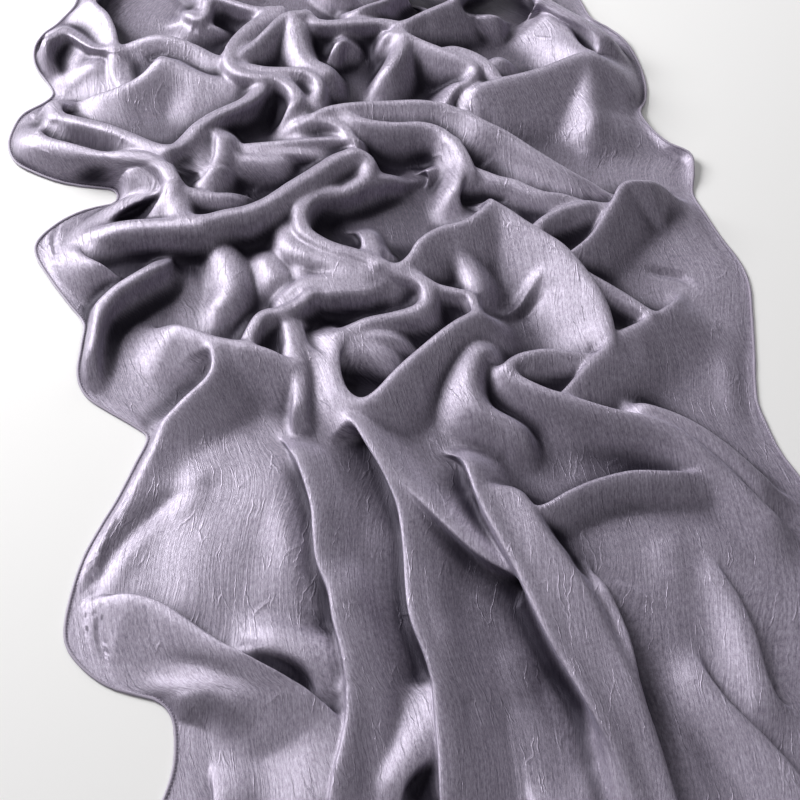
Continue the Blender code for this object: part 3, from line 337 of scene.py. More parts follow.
# Each edge of the cloth: x, y and how far its underside is off the surface.
LEFT_EDGE = [
    (-300, 800, 0), (-330, 750, 0), (-372, 700, 0), (-396, 650, 0), (-402, 610, 0), (-420, 572, 14),
    (-437, 545, 14), (-438, 515, 8), (-428, 482, 0), (-412, 458, 0), (-404, 440, 0), (-412, 424, 0),
    (-434, 402, 0), (-441, 372, 0), (-440, 345, 0), (-428, 320, 0), (-402, 302, 0), (-372, 288, 0),
    (-345, 282, 0), (-318, 278, 0), (-308, 266, 0), (-312, 252, 0), (-340, 243, 0), (-366, 224, 0),
    (-385, 196, 0), (-383, 172, 0), (-362, 136, 0), (-340, 104, 0), (-320, 74, 0), (-318, 40, 0),
    (-317, 5, 0), (-306, -20, 0), (-284, -38, 0), (-255, -58, 0), (-240, -74, 0), (-248, -106, 0),
    (-260, -146, 0), (-272, -178, 0), (-283, -212, 0), (-289, -250, 0), (-290, -285, 0),
    (-284, -306, 0), (-266, -327, 0), (-244, -342, 0), (-222, -349, 0), (-204, -354, 0),
    (-190, -368, 0), (-184, -392, 0), (-184, -425, 0), (-196, -470, 0), (-214, -530, 0),
    (-228, -600, 0),
]
RIGHT_EDGE = [
    (150, 800, 0), (178, 740, 0), (205, 680, 0), (222, 625, 0), (233, 588, 5), (254, 566, 5),
    (271, 542, 5), (282, 505, 0), (287, 462, 0), (284, 428, 0), (276, 408, 6), (286, 380, 8),
    (304, 354, 9), (326, 337, 9), (326, 308, 6), (320, 268, 0), (330, 235, 0), (342, 200, 0),
    (357, 162, 0), (362, 130, 0), (359, 90, 0), (354, 40, 0), (349, 0, 0), (347, -30, 0),
    (352, -60, 0), (360, -92, 0), (374, -124, 0), (388, -160, 0), (396, -210, 0), (398, -270, 0),
    (396, -340, 0), (392, -420, 0), (390, -500, 0), (392, -600, 0),
]
NEAR_EDGE = [(-228, -600, 0), (-110, -606, 0), (20, -600, 0), (150, -607, 0), (280, -601, 0), (392, -600, 0)]
FAR_EDGE = [(150, 800, 0), (60, 806, 0), (-40, 799, 0), (-150, 806, 0), (-240, 800, 0), (-300, 800, 0)]

# One row for each small crease and bulge: its name, its height (a trough is below nothing) and half
# width, and the plan points that it runs through.
CREASES = [
    ("near left bulge", 4, 17, [(-181, -80), (-191, -99), (-209, -157)]),
    ("near left trough", -6, 11, [(-290, -253), (-264, -189), (-232, -141), (-215, -127), (-182, -116)]),
    ("near left rim", 2, 14, [(-272, -240), (-250, -180), (-222, -120)]),
    ("by pleat a", 3.5, 17, [(-116, -110), (-113, -134), (-100, -200), (-96, -240)]),
    ("hem bulge", 6, 13, [(-200, -342), (-171, -338), (-143, -349), (-122, -372)]),
    ("behind the hem fold", 8, 11, [(-157, -286), (-129, -299), (-101, -315), (-77, -335)]),
    ("above hem bulge", -2, 7, [(-212, -300), (-166, -314), (-118, -338)]),
    ("small tuck", -4, 6, [(154, -196), (160, -210), (166, -226)]),
    ("below the tuck", 2, 4, [(176, -216), (210, -232), (246, -252)]),
    ("fold foot b", 2.5, 18, [(94, -280), (104, -314), (108, -350)]),
    ("fold foot c", -2.5, 12, [(124, -300), (132, -332), (146, -372)]),
    ("fold foot d", 2, 14, [(150, -392), (162, -430), (168, -470)]),
    ("curl", 4.5, 7, [(84, 96), (104, 101), (124, 115), (136, 134), (146, 146), (156, 138)]),
    ("under the curl", -4, 7, [(118, 100), (136, 112), (148, 128)]),
    ("lobe hollow", -9, 7, [(-389, 383), (-357, 364), (-315, 343)]),
    ("bowl floor", -6, 30, [(-330, 434), (-294, 440), (-240, 432)]),
    ("flap bulge", 3, 13, [(229, 480), (225, 395), (211, 326)]),
    ("lobe wrinkle", -4, 6, [(258, 176), (278, 172), (300, 166), (314, 146)]),
    ("lobe wrinkle side", 3.5, 9, [(290, 148), (291, 128), (280, 104)]),
    ("skirt wave a", 2.5, 12, [(336, 70), (330, 10), (334, -40)]),
    ("between a and b", 2.5, 15, [(-50, -180), (-36, -250), (-18, -320)]),
    ("between a and b low", -2.5, 12, [(-30, -330), (-26, -400), (-20, -470)]),
    ("by pleat b", 3, 12, [(20, -200), (40, -270), (52, -330)]),
    ("right field a", 3, 16, [(236, -170), (250, -205), (256, -240)]),
    ("right field b", -3, 15, [(330, -250), (340, -310), (352, -360)]),
    ("right field c", 2.5, 14, [(230, -330), (244, -400), (262, -470)]),
]

# Half the width of the level top that a few folds have.
FLAT_TOPS = {"pleat d body": 16.0, "rim panel": 11.0}


def placed(points):
    """Measured points moved along the line of sight to their own height."""
    points = np.array(points, float)
    eye = np.array(EYE)
    share = (eye[2] - points[:, 2:]) / (eye[2] - MEASURED_LEVEL)
    points[:, :2] = eye[:2] + share * (points[:, :2] - eye[:2])
    return points


def smooth_path(points, step):
    """A Catmull-Rom curve through the points, with a point about every step."""
    ends = np.vstack([2 * points[0] - points[1], points, 2 * points[-1] - points[-2]])
    path = [points[:1]]
    for a, b, c, d in zip(ends[:-3], ends[1:-2], ends[2:-1], ends[3:]):
        count = max(1, int(np.ceil(np.hypot(*(c - b)[:2]) / step)))
        t = (np.arange(1, count + 1) / count)[:, None]
        path.append(
            0.5 * (2 * b + (c - a) * t + (2 * a - 5 * b + 4 * c - d) * t**2 + (3 * b - a - 3 * c + d) * t**3)
        )
    return np.vstack(path)


def lengths_along(path):
    """The distance run along a path at each of its points."""
    return np.concatenate([[0], np.cumsum(np.linalg.norm(np.diff(path, axis=0), axis=1))])


def eased(share):
    """0 to 1 with a level start and end: 3 t squared less 2 t cubed."""
    share = np.clip(share, 0, 1)
    return share * share * (3 - 2 * share)


def profile(distance, width, flat):
    """Share of the crest height left at a distance: round on a narrow side, hollow on a broad one.

    It is 1 less t to the power of the shoulder, all to the power of the foot, where t is the distance
    over the width.
    """
    broad = eased((width - NARROW_SIDE) / (BROAD_SIDE - NARROW_SIDE))
    shoulder = NARROW_SHOULDER + (BROAD_SHOULDER - NARROW_SHOULDER) * broad
    foot = NARROW_FOOT + (BROAD_FOOT - NARROW_FOOT) * broad
    distance = np.hypot(np.maximum(distance - flat, 0), CREST_ROUNDING) - CREST_ROUNDING
    return (1 - np.clip(distance / width, 0, 1) ** shoulder) ** foot


def stretch_heights(x, y, start, end, following, left, right, flat):
    """Heights over one straight stretch of a crest, and over the fan at its joint with the next."""
    run = end[:2] - start[:2]
    length = np.hypot(*run)
    run = run / length
    along = (x - start[0]) * run[0] + (y - start[1]) * run[1]
    across = run[0] * (y - start[1]) - run[1] * (x - start[0])
    width = np.where(across > 0, left, right)
    crest = start[2] + (end[2] - start[2]) * np.clip(along / length, 0, 1)
    beside = (along >= 0) & (along <= length)
    heights = np.where(beside, crest * profile(np.abs(across), width, flat), 0)
    if following is not None:
        turn = following[:2] - end[:2]
        before = (x - end[0]) * turn[0] + (y - end[1]) * turn[1] < 0
        fan = end[2] * profile(np.hypot(x - end[0], y - end[1]), width, flat)
        heights = np.where((along > length) & before, fan, heights)
    return heights


def end_heights(x, y, end, inner, left, right, flat):
    """Heights over the rounded end of a crest, whose width turns from the left one to the right one."""
    run = (end[:2] - inner[:2]) / np.hypot(*(end[:2] - inner[:2]))
    dx, dy = x - end[0], y - end[1]
    reach = np.hypot(dx, dy) + 1e-9
    share = 0.5 + 0.5 * (run[0] * dy - run[1] * dx) / reach
    beyond = dx * run[0] + dy * run[1] > 0
    return np.where(beyond, end[2] * profile(reach, right + (left - right) * share, flat), 0)


def crest_paths():
    """Each fold's crest as a smooth path, faded at its free ends."""
    paths = [smooth_path(placed(points), CREST_STEP) for _, _, _, points in FOLDS]
    faded = []
    for k, path in enumerate(paths):
        others = np.vstack(paths[:k] + paths[k + 1 :])
        run = lengths_along(path[:, :2])
        reach = min(FADE, FADE_SHARE * run[-1])
        path = path.copy()
        for end, along in ((path[0].copy(), run), (path[-1].copy(), run[-1] - run)):
            away = np.hypot(*(others[:, :2] - end[:2]).T)
            if not np.any((away < JOINED) & (others[:, 2] > end[2] - LEVEL_WITH)):
                path[:, 2] *= FADED_TO + (1 - FADED_TO) * eased(along / reach)
        faded.append(path)
    return faded


def within(x, y, points, reach):
    """Which plan points are within reach of the box around some crest points."""
    low, high = points[:, :2].min(0) - reach, points[:, :2].max(0) + reach
    return np.flatnonzero((x > low[0]) & (x < high[0]) & (y > low[1]) & (y < high[1]))


def stretches_of(path, x, y):
    """Each straight stretch of a path, with how the points lie to it.

    Gives its start and end, how far along it each point is as a share, that share held within it, and
    the offset of the point from there.
    """
    for a, b in zip(path[:-1], path[1:]):
        run = b[:2] - a[:2]
        share = ((x - a[0]) * run[0] + (y - a[1]) * run[1]) / (run @ run)
        held = np.clip(share, 0, 1)
        yield a, b, share, held, x - a[0] - held * run[0], y - a[1] - held * run[1]


def fold_heights(x, y, swell):
    """The softened maximum of the gentle swell and every fold, at flat arrays of points."""
    total = np.exp(swell / SOFT_VALLEY)
    for (name, left, right, _), path in zip(FOLDS, CRESTS):
        flat = FLAT_TOPS.get(name, 0.0)
        reach = max(left, right) + flat
        near = within(x, y, path, reach)
        px, py = x[near], y[near]
        best = np.maximum(
            end_heights(px, py, path[0], path[1], right, left, flat),
            end_heights(px, py, path[-1], path[-2], left, right, flat),
        )
        last = len(path) - 2
        for j in range(last + 1):
            some = within(px, py, path[j : j + 2], reach)
            following = path[j + 2] if j < last else None
            stretch = stretch_heights(px[some], py[some], path[j], path[j + 1], following, left, right, flat)
            best[some] = np.maximum(best[some], stretch)
        total[near] += np.exp(best / SOFT_VALLEY) - 1
    return SOFT_VALLEY * np.log(total)


def tucked(x, y, z):
    """Plan shifts that draw the foot of each steep side in under its crest, so that the fold overhangs it.

    A shift grows down the side, is greatest at its foot and dies away over the valley floor beyond. It
    is in proportion to the drop from the crest, and where two meet, they are added.
    """
    dx, dy = np.zeros_like(x), np.zeros_like(x)
    for (_, left, right, _), path in zip(FOLDS, CRESTS):
        for narrow, side in ((left, 1.0), (right, -1.0)):
            if narrow > STEEP_SIDE:
                continue
            other = left + right - narrow
            pull = OVERHANG + narrow * eased((other - narrow) / ONE_SIDED)
            reach = narrow + TUCK_REACH * pull
            some = within(x, y, path, reach)
            px, py = x[some], y[some]
            nearest = np.full(len(some), np.inf)
            best_x, best_y, crest = np.zeros(len(some)), np.zeros(len(some)), np.zeros(len(some))
            on_side = np.zeros(len(some), bool)
            last = len(path) - 2
            for j, (a, b, share, held, ax, ay) in enumerate(stretches_of(path, px, py)):
                beside = (share > (0 if j == 0 else -PAST_JOINT)) & (share < (1 if j == last else 1 + PAST_JOINT))
                away = np.hypot(ax, ay)
                closer = beside & (away < nearest)
                nearest[closer] = away[closer]
                best_x[closer], best_y[closer] = ax[closer], ay[closer]
                crest[closer] = (a[2] + held * (b[2] - a[2]))[closer]
                turn = (b[0] - a[0]) * (py - a[1]) - (b[1] - a[1]) * (px - a[0])
                on_side[closer] = (side * turn > 0)[closer]
            down = eased(nearest / narrow)
            beyond = 1 - eased((nearest - narrow) / (TUCK_REACH * pull))
            drop = np.clip((crest - z[some]) / (FULL_DROP * crest + LEAST_DROP), 0, 1)
            pulled = pull * down * beyond * (drop * eased(crest / FULL_TUCK))
            shift = np.where(on_side, pulled, 0) / (nearest + 1e-6)
            dx[some] -= shift * best_x
            dy[some] -= shift * best_y
    return dx, dy


def outline():
    """The closed edge of the cloth, anticlockwise from its far left corner, and each corner's index."""
    sides = []
    for table in (LEFT_EDGE, NEAR_EDGE, RIGHT_EDGE[::-1], FAR_EDGE):
        sides.append(smooth_path(placed(table), EDGE_STEP)[:-1])
    corners = np.cumsum([0] + [len(side) for side in sides])
    edge = np.vstack(sides)
    edge[:, 2] = np.maximum(edge[:, 2], 0)
    return edge, corners


def nearest_on(x, y, path, values):
    """The distance from each point to a path, and the path's own value at the place nearest to it."""
    nearest, read = np.full(len(x), np.inf), np.zeros(len(x))
    for k, (_, _, _, held, ax, ay) in enumerate(stretches_of(path, x, y)):
        away = np.hypot(ax, ay)
        closer = away < nearest
        nearest = np.where(closer, away, nearest)
        read = np.where(closer, values[k] + held * (values[k + 1] - values[k]), read)
    return nearest, read


def spread(coarse, rows, columns):
    """A coarse grid of values read at the points of a finer one, straight between its own."""
    at_row = np.linspace(0, coarse.shape[0] - 1, rows)
    at_column = np.linspace(0, coarse.shape[1] - 1, columns)
    i = np.minimum(at_row.astype(int), coarse.shape[0] - 2)
    j = np.minimum(at_column.astype(int), coarse.shape[1] - 2)
    fi, fj = (at_row - i)[:, None], (at_column - j)[None, :]
    first, second = coarse[i], coarse[i + 1]
    first = first[:, j] * (1 - fj) + first[:, j + 1] * fj
    second = second[:, j] * (1 - fj) + second[:, j + 1] * fj
    return first * (1 - fi) + second * fi


def running_mean(values, reach):
    """Values smoothed along the first axis by a bell of that reach in steps, out to three times it."""
    steps = np.arange(-3 * reach, 3 * reach + 1)
    bell = np.exp(-0.5 * (steps / reach) ** 2)
    ends = [np.repeat(end, 3 * reach, 0) for end in (values[:1], values[-1:])]
    padded = np.concatenate([ends[0], values, ends[1]])
    total = np.zeros(values.shape)
    for k, weight in enumerate(bell / bell.sum()):
        total += weight * padded[k : k + len(values)]
    return total


def cloth_plan(edge, corners):
    """Plan points of the cloth, in rows from the far end to the near one and columns from left to right.

    The edges' own waves die away inwards, so that columns run smoothly down the middle.
    """
    left = edge[: corners[1] + 1]
    near = edge[corners[1] : corners[2] + 1]
    right = edge[corners[2] : corners[3] + 1][::-1]
    far = np.vstack([edge[corners[3] :], edge[:1]])[::-1]
    u = np.linspace(0, 1, COLUMNS)
    v = np.linspace(0, 1, ROWS)
    y = left[0, 1] + (left[-1, 1] - left[0, 1]) * v
    left_x = np.interp(-y, -left[:, 1], left[:, 0])
    right_x = np.interp(-y, -right[:, 1], right[:, 0])
    calm = int(CALM_REACH / (y[0] - y[1]))
    left_calm, right_calm = running_mean(left_x, calm), running_mean(right_x, calm)
    width = right_calm - left_calm
    x = left_calm[:, None] + width[:, None] * u
    x += (left_x - left_calm)[:, None] * np.exp(-u * width[:, None] / SIDE_WAVE)
    x += (right_x - right_calm)[:, None] * np.exp(-(1 - u) * width[:, None] / SIDE_WAVE)
    near_wave = np.interp(u, np.linspace(0, 1, len(near)), near[:, 1]) - y[-1]
    far_wave = np.interp(u, np.linspace(0, 1, len(far)), far[:, 1]) - y[0]
    near_share = np.exp((y[-1] - y)[:, None] / END_WAVE)
    far_share = np.exp((y - y[0])[:, None] / END_WAVE)
    return x, y[:, None] + near_wave * near_share + far_wave * far_share


def softened(values):
    """Each value of a grid eased towards its eight neighbours, by weights of 4, 2 and 1 sixteenths."""
    for _ in range(2):
        padded = np.pad(values, [(1, 1), (0, 0)], mode="edge")
        values = (0.25 * padded[:-2] + 0.5 * padded[1:-1] + 0.25 * padded[2:]).T
    return values


def hung(heights, spacing):
    """The cloth laid over the folds. Where it spans a hollow, its two curvatures add up to the sag."""
    over = heights
    for _ in range(SAG_PASSES):
        padded = np.pad(over, 1, mode="edge")
        mean = 0.25 * (padded[:-2, 1:-1] + padded[2:, 1:-1] + padded[1:-1, :-2] + padded[1:-1, 2:])
        over = np.maximum(heights, mean - 0.25 * SAG * spacing**2)
    return over


def hollow(heights, reach, depth):
    """How far each point lies below the mean of the cloth round it, 1 at that depth or deeper."""
    around = running_mean(running_mean(heights, reach).T, reach).T
    return eased((around - heights) / depth)


def smooth_noise(a, b, seed):
    """Noise from -1 to 1 on the plane (a, b): random values at whole numbers, eased between."""
    lattice = np.random.default_rng(seed).uniform(-1, 1, (NOISE_CELLS + 1, NOISE_CELLS + 1))
    i, j = np.floor(a).astype(int), np.floor(b).astype(int)
    fa, fb = eased(a - i), eased(b - j)
    i, j = i % NOISE_CELLS, j % NOISE_CELLS
    low = lattice[i, j] * (1 - fa) + lattice[i + 1, j] * fa
    high = lattice[i, j + 1] * (1 - fa) + lattice[i + 1, j + 1] * fa
    return low * (1 - fb) + high * fb


def cloth_coordinates(x, y, z):
    """Where each point lies on the flat cut: evened lengths along the surface, brought to the cut's size."""
    down, across = (
        np.sqrt(np.diff(x, axis=k) ** 2 + np.diff(y, axis=k) ** 2 + np.diff(z, axis=k) ** 2) for k in (0, 1)
    )
    across, down = running_mean(across, LENGTHS_EVENED), running_mean(down.T, LENGTHS_EVENED).T
    s = np.hstack([np.zeros((ROWS, 1)), np.cumsum(across, axis=1)])
    t = np.vstack([np.zeros((1, COLUMNS)), np.cumsum(down, axis=0)])
    s = s - s[:, COLUMNS // 2 : COLUMNS // 2 + 1]
    s *= running_mean(FLAT_WIDTH / (s[:, -1:] - s[:, :1]), CUT_EVENED)
    t *= running_mean(FLAT_LENGTH / t[-1:].T, CUT_EVENED).T
    return s + 0.5 * FLAT_WIDTH, t


def crease_heights(x, y):
    """The sum of every crease: a bell across its path, eased to nothing at both ends."""
    total = np.zeros(x.shape)
    for _, height, width, points in CREASES:
        path = smooth_path(np.array(points, float), CREST_STEP)
        run = lengths_along(path)
        some = within(x, y, path, 3 * width)
        nearest, along = nearest_on(x[some], y[some], path, run)
        ends = eased(along / run[-1] / CREASE_RISE) * eased((run[-1] - along) / run[-1] / CREASE_RISE)
        total[some] += height * np.exp(-((nearest / width) ** 2)) * (CREASE_END + (1 - CREASE_END) * ends)
    return total


def undulations(s, t):
    """Soft waves of the loose cloth between its folds, longer down the scarf than across it."""
    seed, across, along, height = SWAY
    s = s + height * smooth_noise(s / across, t / along, seed)
    total = 0
    for seed, across, along, height in WAVES:
        total = total + height * smooth_noise(s / across, t / along, seed)
    return total


CRESTS = crest_paths()
edge, corners = outline()
x, y = cloth_plan(edge, corners)
coarse_x, coarse_y = (plan[::COARSE_ROWS, ::COARSE_COLUMNS] for plan in (x, y))
rim = np.vstack([edge, edge[:1]])
coarse_distance, coarse_lift = nearest_on(coarse_x.ravel(), coarse_y.ravel(), rim, rim[:, 2])
distance = spread(coarse_distance.reshape(coarse_x.shape), ROWS, COLUMNS).ravel()
lift = spread(coarse_lift.reshape(coarse_x.shape), ROWS, COLUMNS).ravel()
by_edge = np.flatnonzero(distance < 2 * MARGIN)
distance[by_edge], lift[by_edge] = nearest_on(x.ravel()[by_edge], y.ravel()[by_edge], rim, rim[:, 2])
distance, lift = distance.reshape(x.shape), lift.reshape(x.shape)
swell = SWELL * np.clip((y - PLAIN_UP_TO) / GATHERED_OVER, 0, 1) * (1 - np.exp(-distance / SWELL_REACH))
heights = np.maximum(fold_heights(x.ravel(), y.ravel(), swell.ravel()).reshape(x.shape), WALL)
rise = 1 - (1 - np.clip(distance / MARGIN, 0, 1)) ** 2
z = lift + WALL + (heights - lift - WALL) * rise
spacing = (y[0, 0] - y[-1, 0]) / (ROWS - 1)
z = z + (hung(z, spacing) - z) * rise
z = z + (softened(z) - z) * eased((y - CRISP_UP_TO) / (SOFT_FROM - CRISP_UP_TO))
z = softened(softened(z))
s, t = cloth_coordinates(x, y, z)
# Painted shade: a share from 0 to 1 of how deep each point lies in a hollow, which the satin uses to darken its
# colour.
shade = np.zeros(z.shape)
for reach, depth, strength in HOLLOWS:
    shade = np.maximum(shade, strength * hollow(z, reach, depth))
clear_of_edge = eased(distance / EDGE_CLEAR)
shift_by = [softened(d.reshape(x.shape)) * clear_of_edge for d in tucked(x.ravel(), y.ravel(), z.ravel())]
x, y = x + shift_by[0], y + shift_by[1]
z = z + rise * (undulations(s, t) + crease_heights(x.ravel(), y.ravel()).reshape(x.shape))
z = np.maximum(z, WALL) - (WALL - SHELL)


def grid_normals(x, y, z):
    """The unit normal at each point of the grid, from its neighbours on either side."""
    points = np.stack([x, y, z], -1)
    down, along = np.gradient(points, axis=0), np.gradient(points, axis=1)
    normals = np.cross(down, along)
    return normals / np.linalg.norm(normals, axis=-1, keepdims=True)


def shell_mesh(name, top, normals, uv, shade):
    """A closed thin shell under a grid of top points, with its normals, flat-cut places and painted shade."""
    rows, columns = top.shape[:2]
    bottom = top - SHELL * normals
    bottom[..., 2] = np.maximum(bottom[..., 2], 0)
    points = np.concatenate([top.reshape(-1, 3), bottom.reshape(-1, 3)]) * MM
    index = np.arange(rows * columns).reshape(rows, columns)
    quads = np.stack([index[:-1, :-1], index[1:, :-1], index[1:, 1:], index[:-1, 1:]], -1).reshape(-1, 4)
    rim = np.concatenate([index[:, 0], index[-1, 1:], index[::-1, -1][1:], index[0, ::-1][1:-1]])
    following = np.roll(rim, -1)
    below = rows * columns
    walls = np.stack([rim, rim + below, following + below, following], -1)
    faces = np.concatenate([quads, quads[:, ::-1] + below, walls])
    mesh = bpy.data.meshes.new(name)
    mesh.vertices.add(len(points))
    mesh.vertices.foreach_set("co", points.ravel())
    mesh.loops.add(faces.size)
    mesh.loops.foreach_set("vertex_index", faces.ravel())
    mesh.polygons.add(len(faces))
    mesh.polygons.foreach_set("loop_start", np.arange(len(faces)) * 4)
    mesh.polygons.foreach_set("use_smooth", np.ones(len(faces), bool))
    layer = mesh.uv_layers.new(name="flat cut")
    both = np.concatenate([uv.reshape(-1, 2), uv.reshape(-1, 2)]) * MM
    layer.data.foreach_set("uv", both[faces.ravel()].ravel())
    # Painted shade, as a share at each point, which the satin uses to darken its colour.
    held = mesh.attributes.new("shade", "FLOAT", "POINT")
    held.data.foreach_set("value", np.concatenate([shade.ravel(), shade.ravel()]))
    mesh.update()
    every = np.concatenate([normals.reshape(-1, 3), -normals.reshape(-1, 3)])
    mesh.normals_split_custom_set_from_vertices(every.tolist())
    return mesh


def linear(hex_colour):
    """An sRGB hex colour as linear red, green, blue and alpha."""
    parts = np.array([int(hex_colour[k : k + 2], 16) for k in (1, 3, 5)]) / 255
    parts = np.where(parts <= 0.04045, parts / 12.92, ((parts + 0.055) / 1.055) ** 2.4)
    return (*parts.tolist(), 1.0)


def node(tree, kind, settings=None, links=None, output=0):
    """One output of a new node of this kind, with its settings by attribute or socket and its links."""
    made = tree.nodes.new("ShaderNode" + kind)
    for key, value in (settings or {}).items():
        if isinstance(key, str) and hasattr(made, key):
            setattr(made, key, value)
        else:
            made.inputs[key].default_value = value
    for key, source in (links or {}).items():
        tree.links.new(source, made.inputs[key])
    return made.outputs[output]


def new_material(name, settings):
    """A new material with its shader set by socket, as the material, its node tree and the shader."""
    material = bpy.data.materials.new(name)
    material.use_nodes = True
    shader = material.node_tree.nodes["Principled BSDF"]
    for key, value in settings.items():
        shader.inputs[key].default_value = value
    return material, material.node_tree, shader


def crinkle_satin():
    """Polyester satin, woven with long floats and heat-set into fine lengthwise crinkles.

    The floats give a soft, stretched gloss, and the crinkles break it into streaks.
    """
    gloss = {
        "Metallic": 0.35,
        "Roughness": 0.43,
        "Anisotropic": 0.35,
        "Sheen Roughness": 0.35,
        "Sheen Tint": linear("#d8d6ee"),
    }
    material, tree, shader = new_material("crinkle satin", gloss)
    tangent = node(tree, "Tangent", {"direction_type": "UV_MAP", "uv_map": "flat cut"})
    flat_cut = node(tree, "UVMap", {"uv_map": "flat cut"})
    # The flat cut is in metres. A crinkle is about 2 mm across and 77 mm long.
    crinkle_map = node(tree, "Mapping", {"Scale": (520.0, 13.0, 1.0)}, {"Vector": flat_cut})
    crinkle = {"Scale": 1.0, "Detail": 6.0, "Roughness": 0.72, "Distortion": 0.15}
    crinkles = node(tree, "TexNoise", crinkle, {"Vector": crinkle_map})
    # The sharpest crinkles are fine lines 13 mm apart, which wander and show in patches.
    wander = node(tree, "TexNoise", {"Scale": 40.0, "Detail": 3.0, "Roughness": 0.6}, {"Vector": flat_cut}, 1)
    bend = {"data_type": "RGBA", "blend_type": "LINEAR_LIGHT", 0: 0.005}
    bent = node(tree, "Mix", bend, {6: flat_cut, 7: wander}, 2)
    line_map = node(tree, "Mapping", {"Scale": (75.0, 10.0, 1.0)}, {"Vector": bent})
    line = node(tree, "TexVoronoi", {"feature": "DISTANCE_TO_EDGE", "Scale": 1.0}, {"Vector": line_map})
    line = node(tree, "MapRange", {"From Max": 0.035, "To Min": 1.0, "To Max": 0.0}, {"Value": line})
    worn = node(tree, "TexNoise", {"Scale": 26.0, "Detail": 1.0}, {"Vector": flat_cut})
    shown = node(tree, "MapRange", {"From Min": 0.46, "From Max": 0.6}, {"Value": worn})
    line = node(tree, "Math", {"operation": "MULTIPLY"}, {0: line, 1: shown})
    # The floats of the weave are drawn 0.8 mm apart, coarser than real, so that they show.
    floats = node(tree, "TexNoise", {"Scale": 1300.0, "Detail": 2.0, "Roughness": 0.7}, {"Vector": flat_cut})
    relief = node(tree, "Math", {"operation": "MULTIPLY_ADD", 1: 0.55}, {0: line, 2: crinkles})
    relief = node(tree, "Math", {"operation": "MULTIPLY_ADD", 1: 0.35}, {0: floats, 2: relief})
    bump = node(tree, "Bump", {"Strength": 1.0, "Distance": 0.0005}, {"Height": relief})
    # Painted sheen: streaks of lighter and darker colour, 1.6 mm across and 7 mm long, stand in for
    # threads of a slightly different gloss, and the colour is lighter where the crinkles stand up.
    thread_map = node(tree, "Mapping", {"Scale": (620.0, 150.0, 1.0)}, {"Vector": flat_cut})
    threads = node(tree, "TexNoise", {"Scale": 1.0, "Detail": 3.0, "Roughness": 0.8}, {"Vector": thread_map})
    streaks = node(tree, "Mix", {0: 0.6}, {2: crinkles, 3: threads})
    streaks = node(tree, "MapRange", {"From Min": 0.36, "From Max": 0.64}, {"Value": streaks})
    tone_ends = {"data_type": "RGBA", 6: linear("#7d7586"), 7: linear("#bdb5c6")}
    tone = node(tree, "Mix", tone_ends, {0: streaks}, 2)
    # Painted shade: in its hollows the cloth's colour is darkened and its sheen and gloss are lowered,
    # standing in for the shade that falls there.
    shade = node(tree, "Attribute", {"attribute_name": "shade"}, output="Fac")
    deep = node(tree, "Math", {"operation": "MULTIPLY", 1: 0.95}, {0: shade})
    tone = node(tree, "Mix", {"data_type": "RGBA", 7: linear("#1f1a28")}, {0: deep, 6: tone}, 2)
    sheen = node(tree, "MapRange", {"To Min": 0.3, "To Max": 0.0}, {"Value": shade})
    specular = node(tree, "MapRange", {"To Min": 0.65, "To Max": 0.2}, {"Value": shade})
    tree.links.new(tangent, shader.inputs["Tangent"])
    tree.links.new(sheen, shader.inputs["Sheen Weight"])
    tree.links.new(specular, shader.inputs["Specular IOR Level"])
    tree.links.new(tone, shader.inputs["Base Color"])
    tree.links.new(bump, shader.inputs["Normal"])
    return material


satin = crinkle_satin()
panel_low = Vector(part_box("scarf_panel")[0]) / MM
shift_x, shift_y = edge[:, 0].min() - panel_low.x, edge[:, 1].min() - panel_low.y
top = np.stack([x - shift_x, y - shift_y, z], -1)
normals = grid_normals(x, y, z)
cuts = np.linspace(0, ROWS - 1, STRETCHES + 1).astype(int)
for k in range(STRETCHES):
    rows = slice(cuts[k], cuts[k + 1] + 1)
    name = f"cloth_stretch_{k + 1}"
    mesh = shell_mesh(name, top[rows], normals[rows], np.stack([s[rows], t[rows]], -1), shade[rows])
    mesh.materials.append(satin)
    piece = bpy.data.objects.new(name, mesh)
    bpy.context.scene.collection.objects.link(piece)
    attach(piece, "root")
    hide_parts("scarf_panel")

# The hems
# Each edge of the cut is rolled twice round a core of its own cloth and sewn down with a fine thread.
# A hem is 3 mm wide, slightly twisted by the sewing, and follows the edge of the cloth.
HEM_WIDTH = 3.0
HEM_HEIGHT = 2.2
HEM_LAP = 0.5
HEM_SIDES = 12
HEM_STEP = 2
HEM_FACE = 0.8
HEM_SEED = 30
SWOLLEN_BY = 0.1
SWOLLEN_EVERY = 7.0
PINCHED_BY = 0.05
TURNED_BY = 0.35
TURNED_EVERY = 16.0

# A stitch is a slanted bar. Its corners are shares of its width, and its ends shares of its length with
# their rise in millimetres.
STITCH_PITCH = 3.4
STITCH_LENGTH = 2.1
STITCH_WIDTH = 0.42
STITCH_CORNERS = ((-0.5, -0.35), (-0.5, 0.5), (0.5, 0.5), (0.5, -0.35))
STITCH_ENDS = ((-0.5, -0.25), (0.5, 0.3))
STITCH_SLANT = (0.5, 0.85)
STITCH_INSET = 0.35
STITCH_SUNK = 0.25
FIRST_STITCH = 2.0


def outward_from(path):
    """The level unit direction to the right of a path that runs anticlockwise round the cloth."""
    run = np.gradient(path[:, :2], axis=0)
    run = run / np.linalg.norm(run, axis=1, keepdims=True)
    return np.column_stack([run[:, 1], -run[:, 0]])


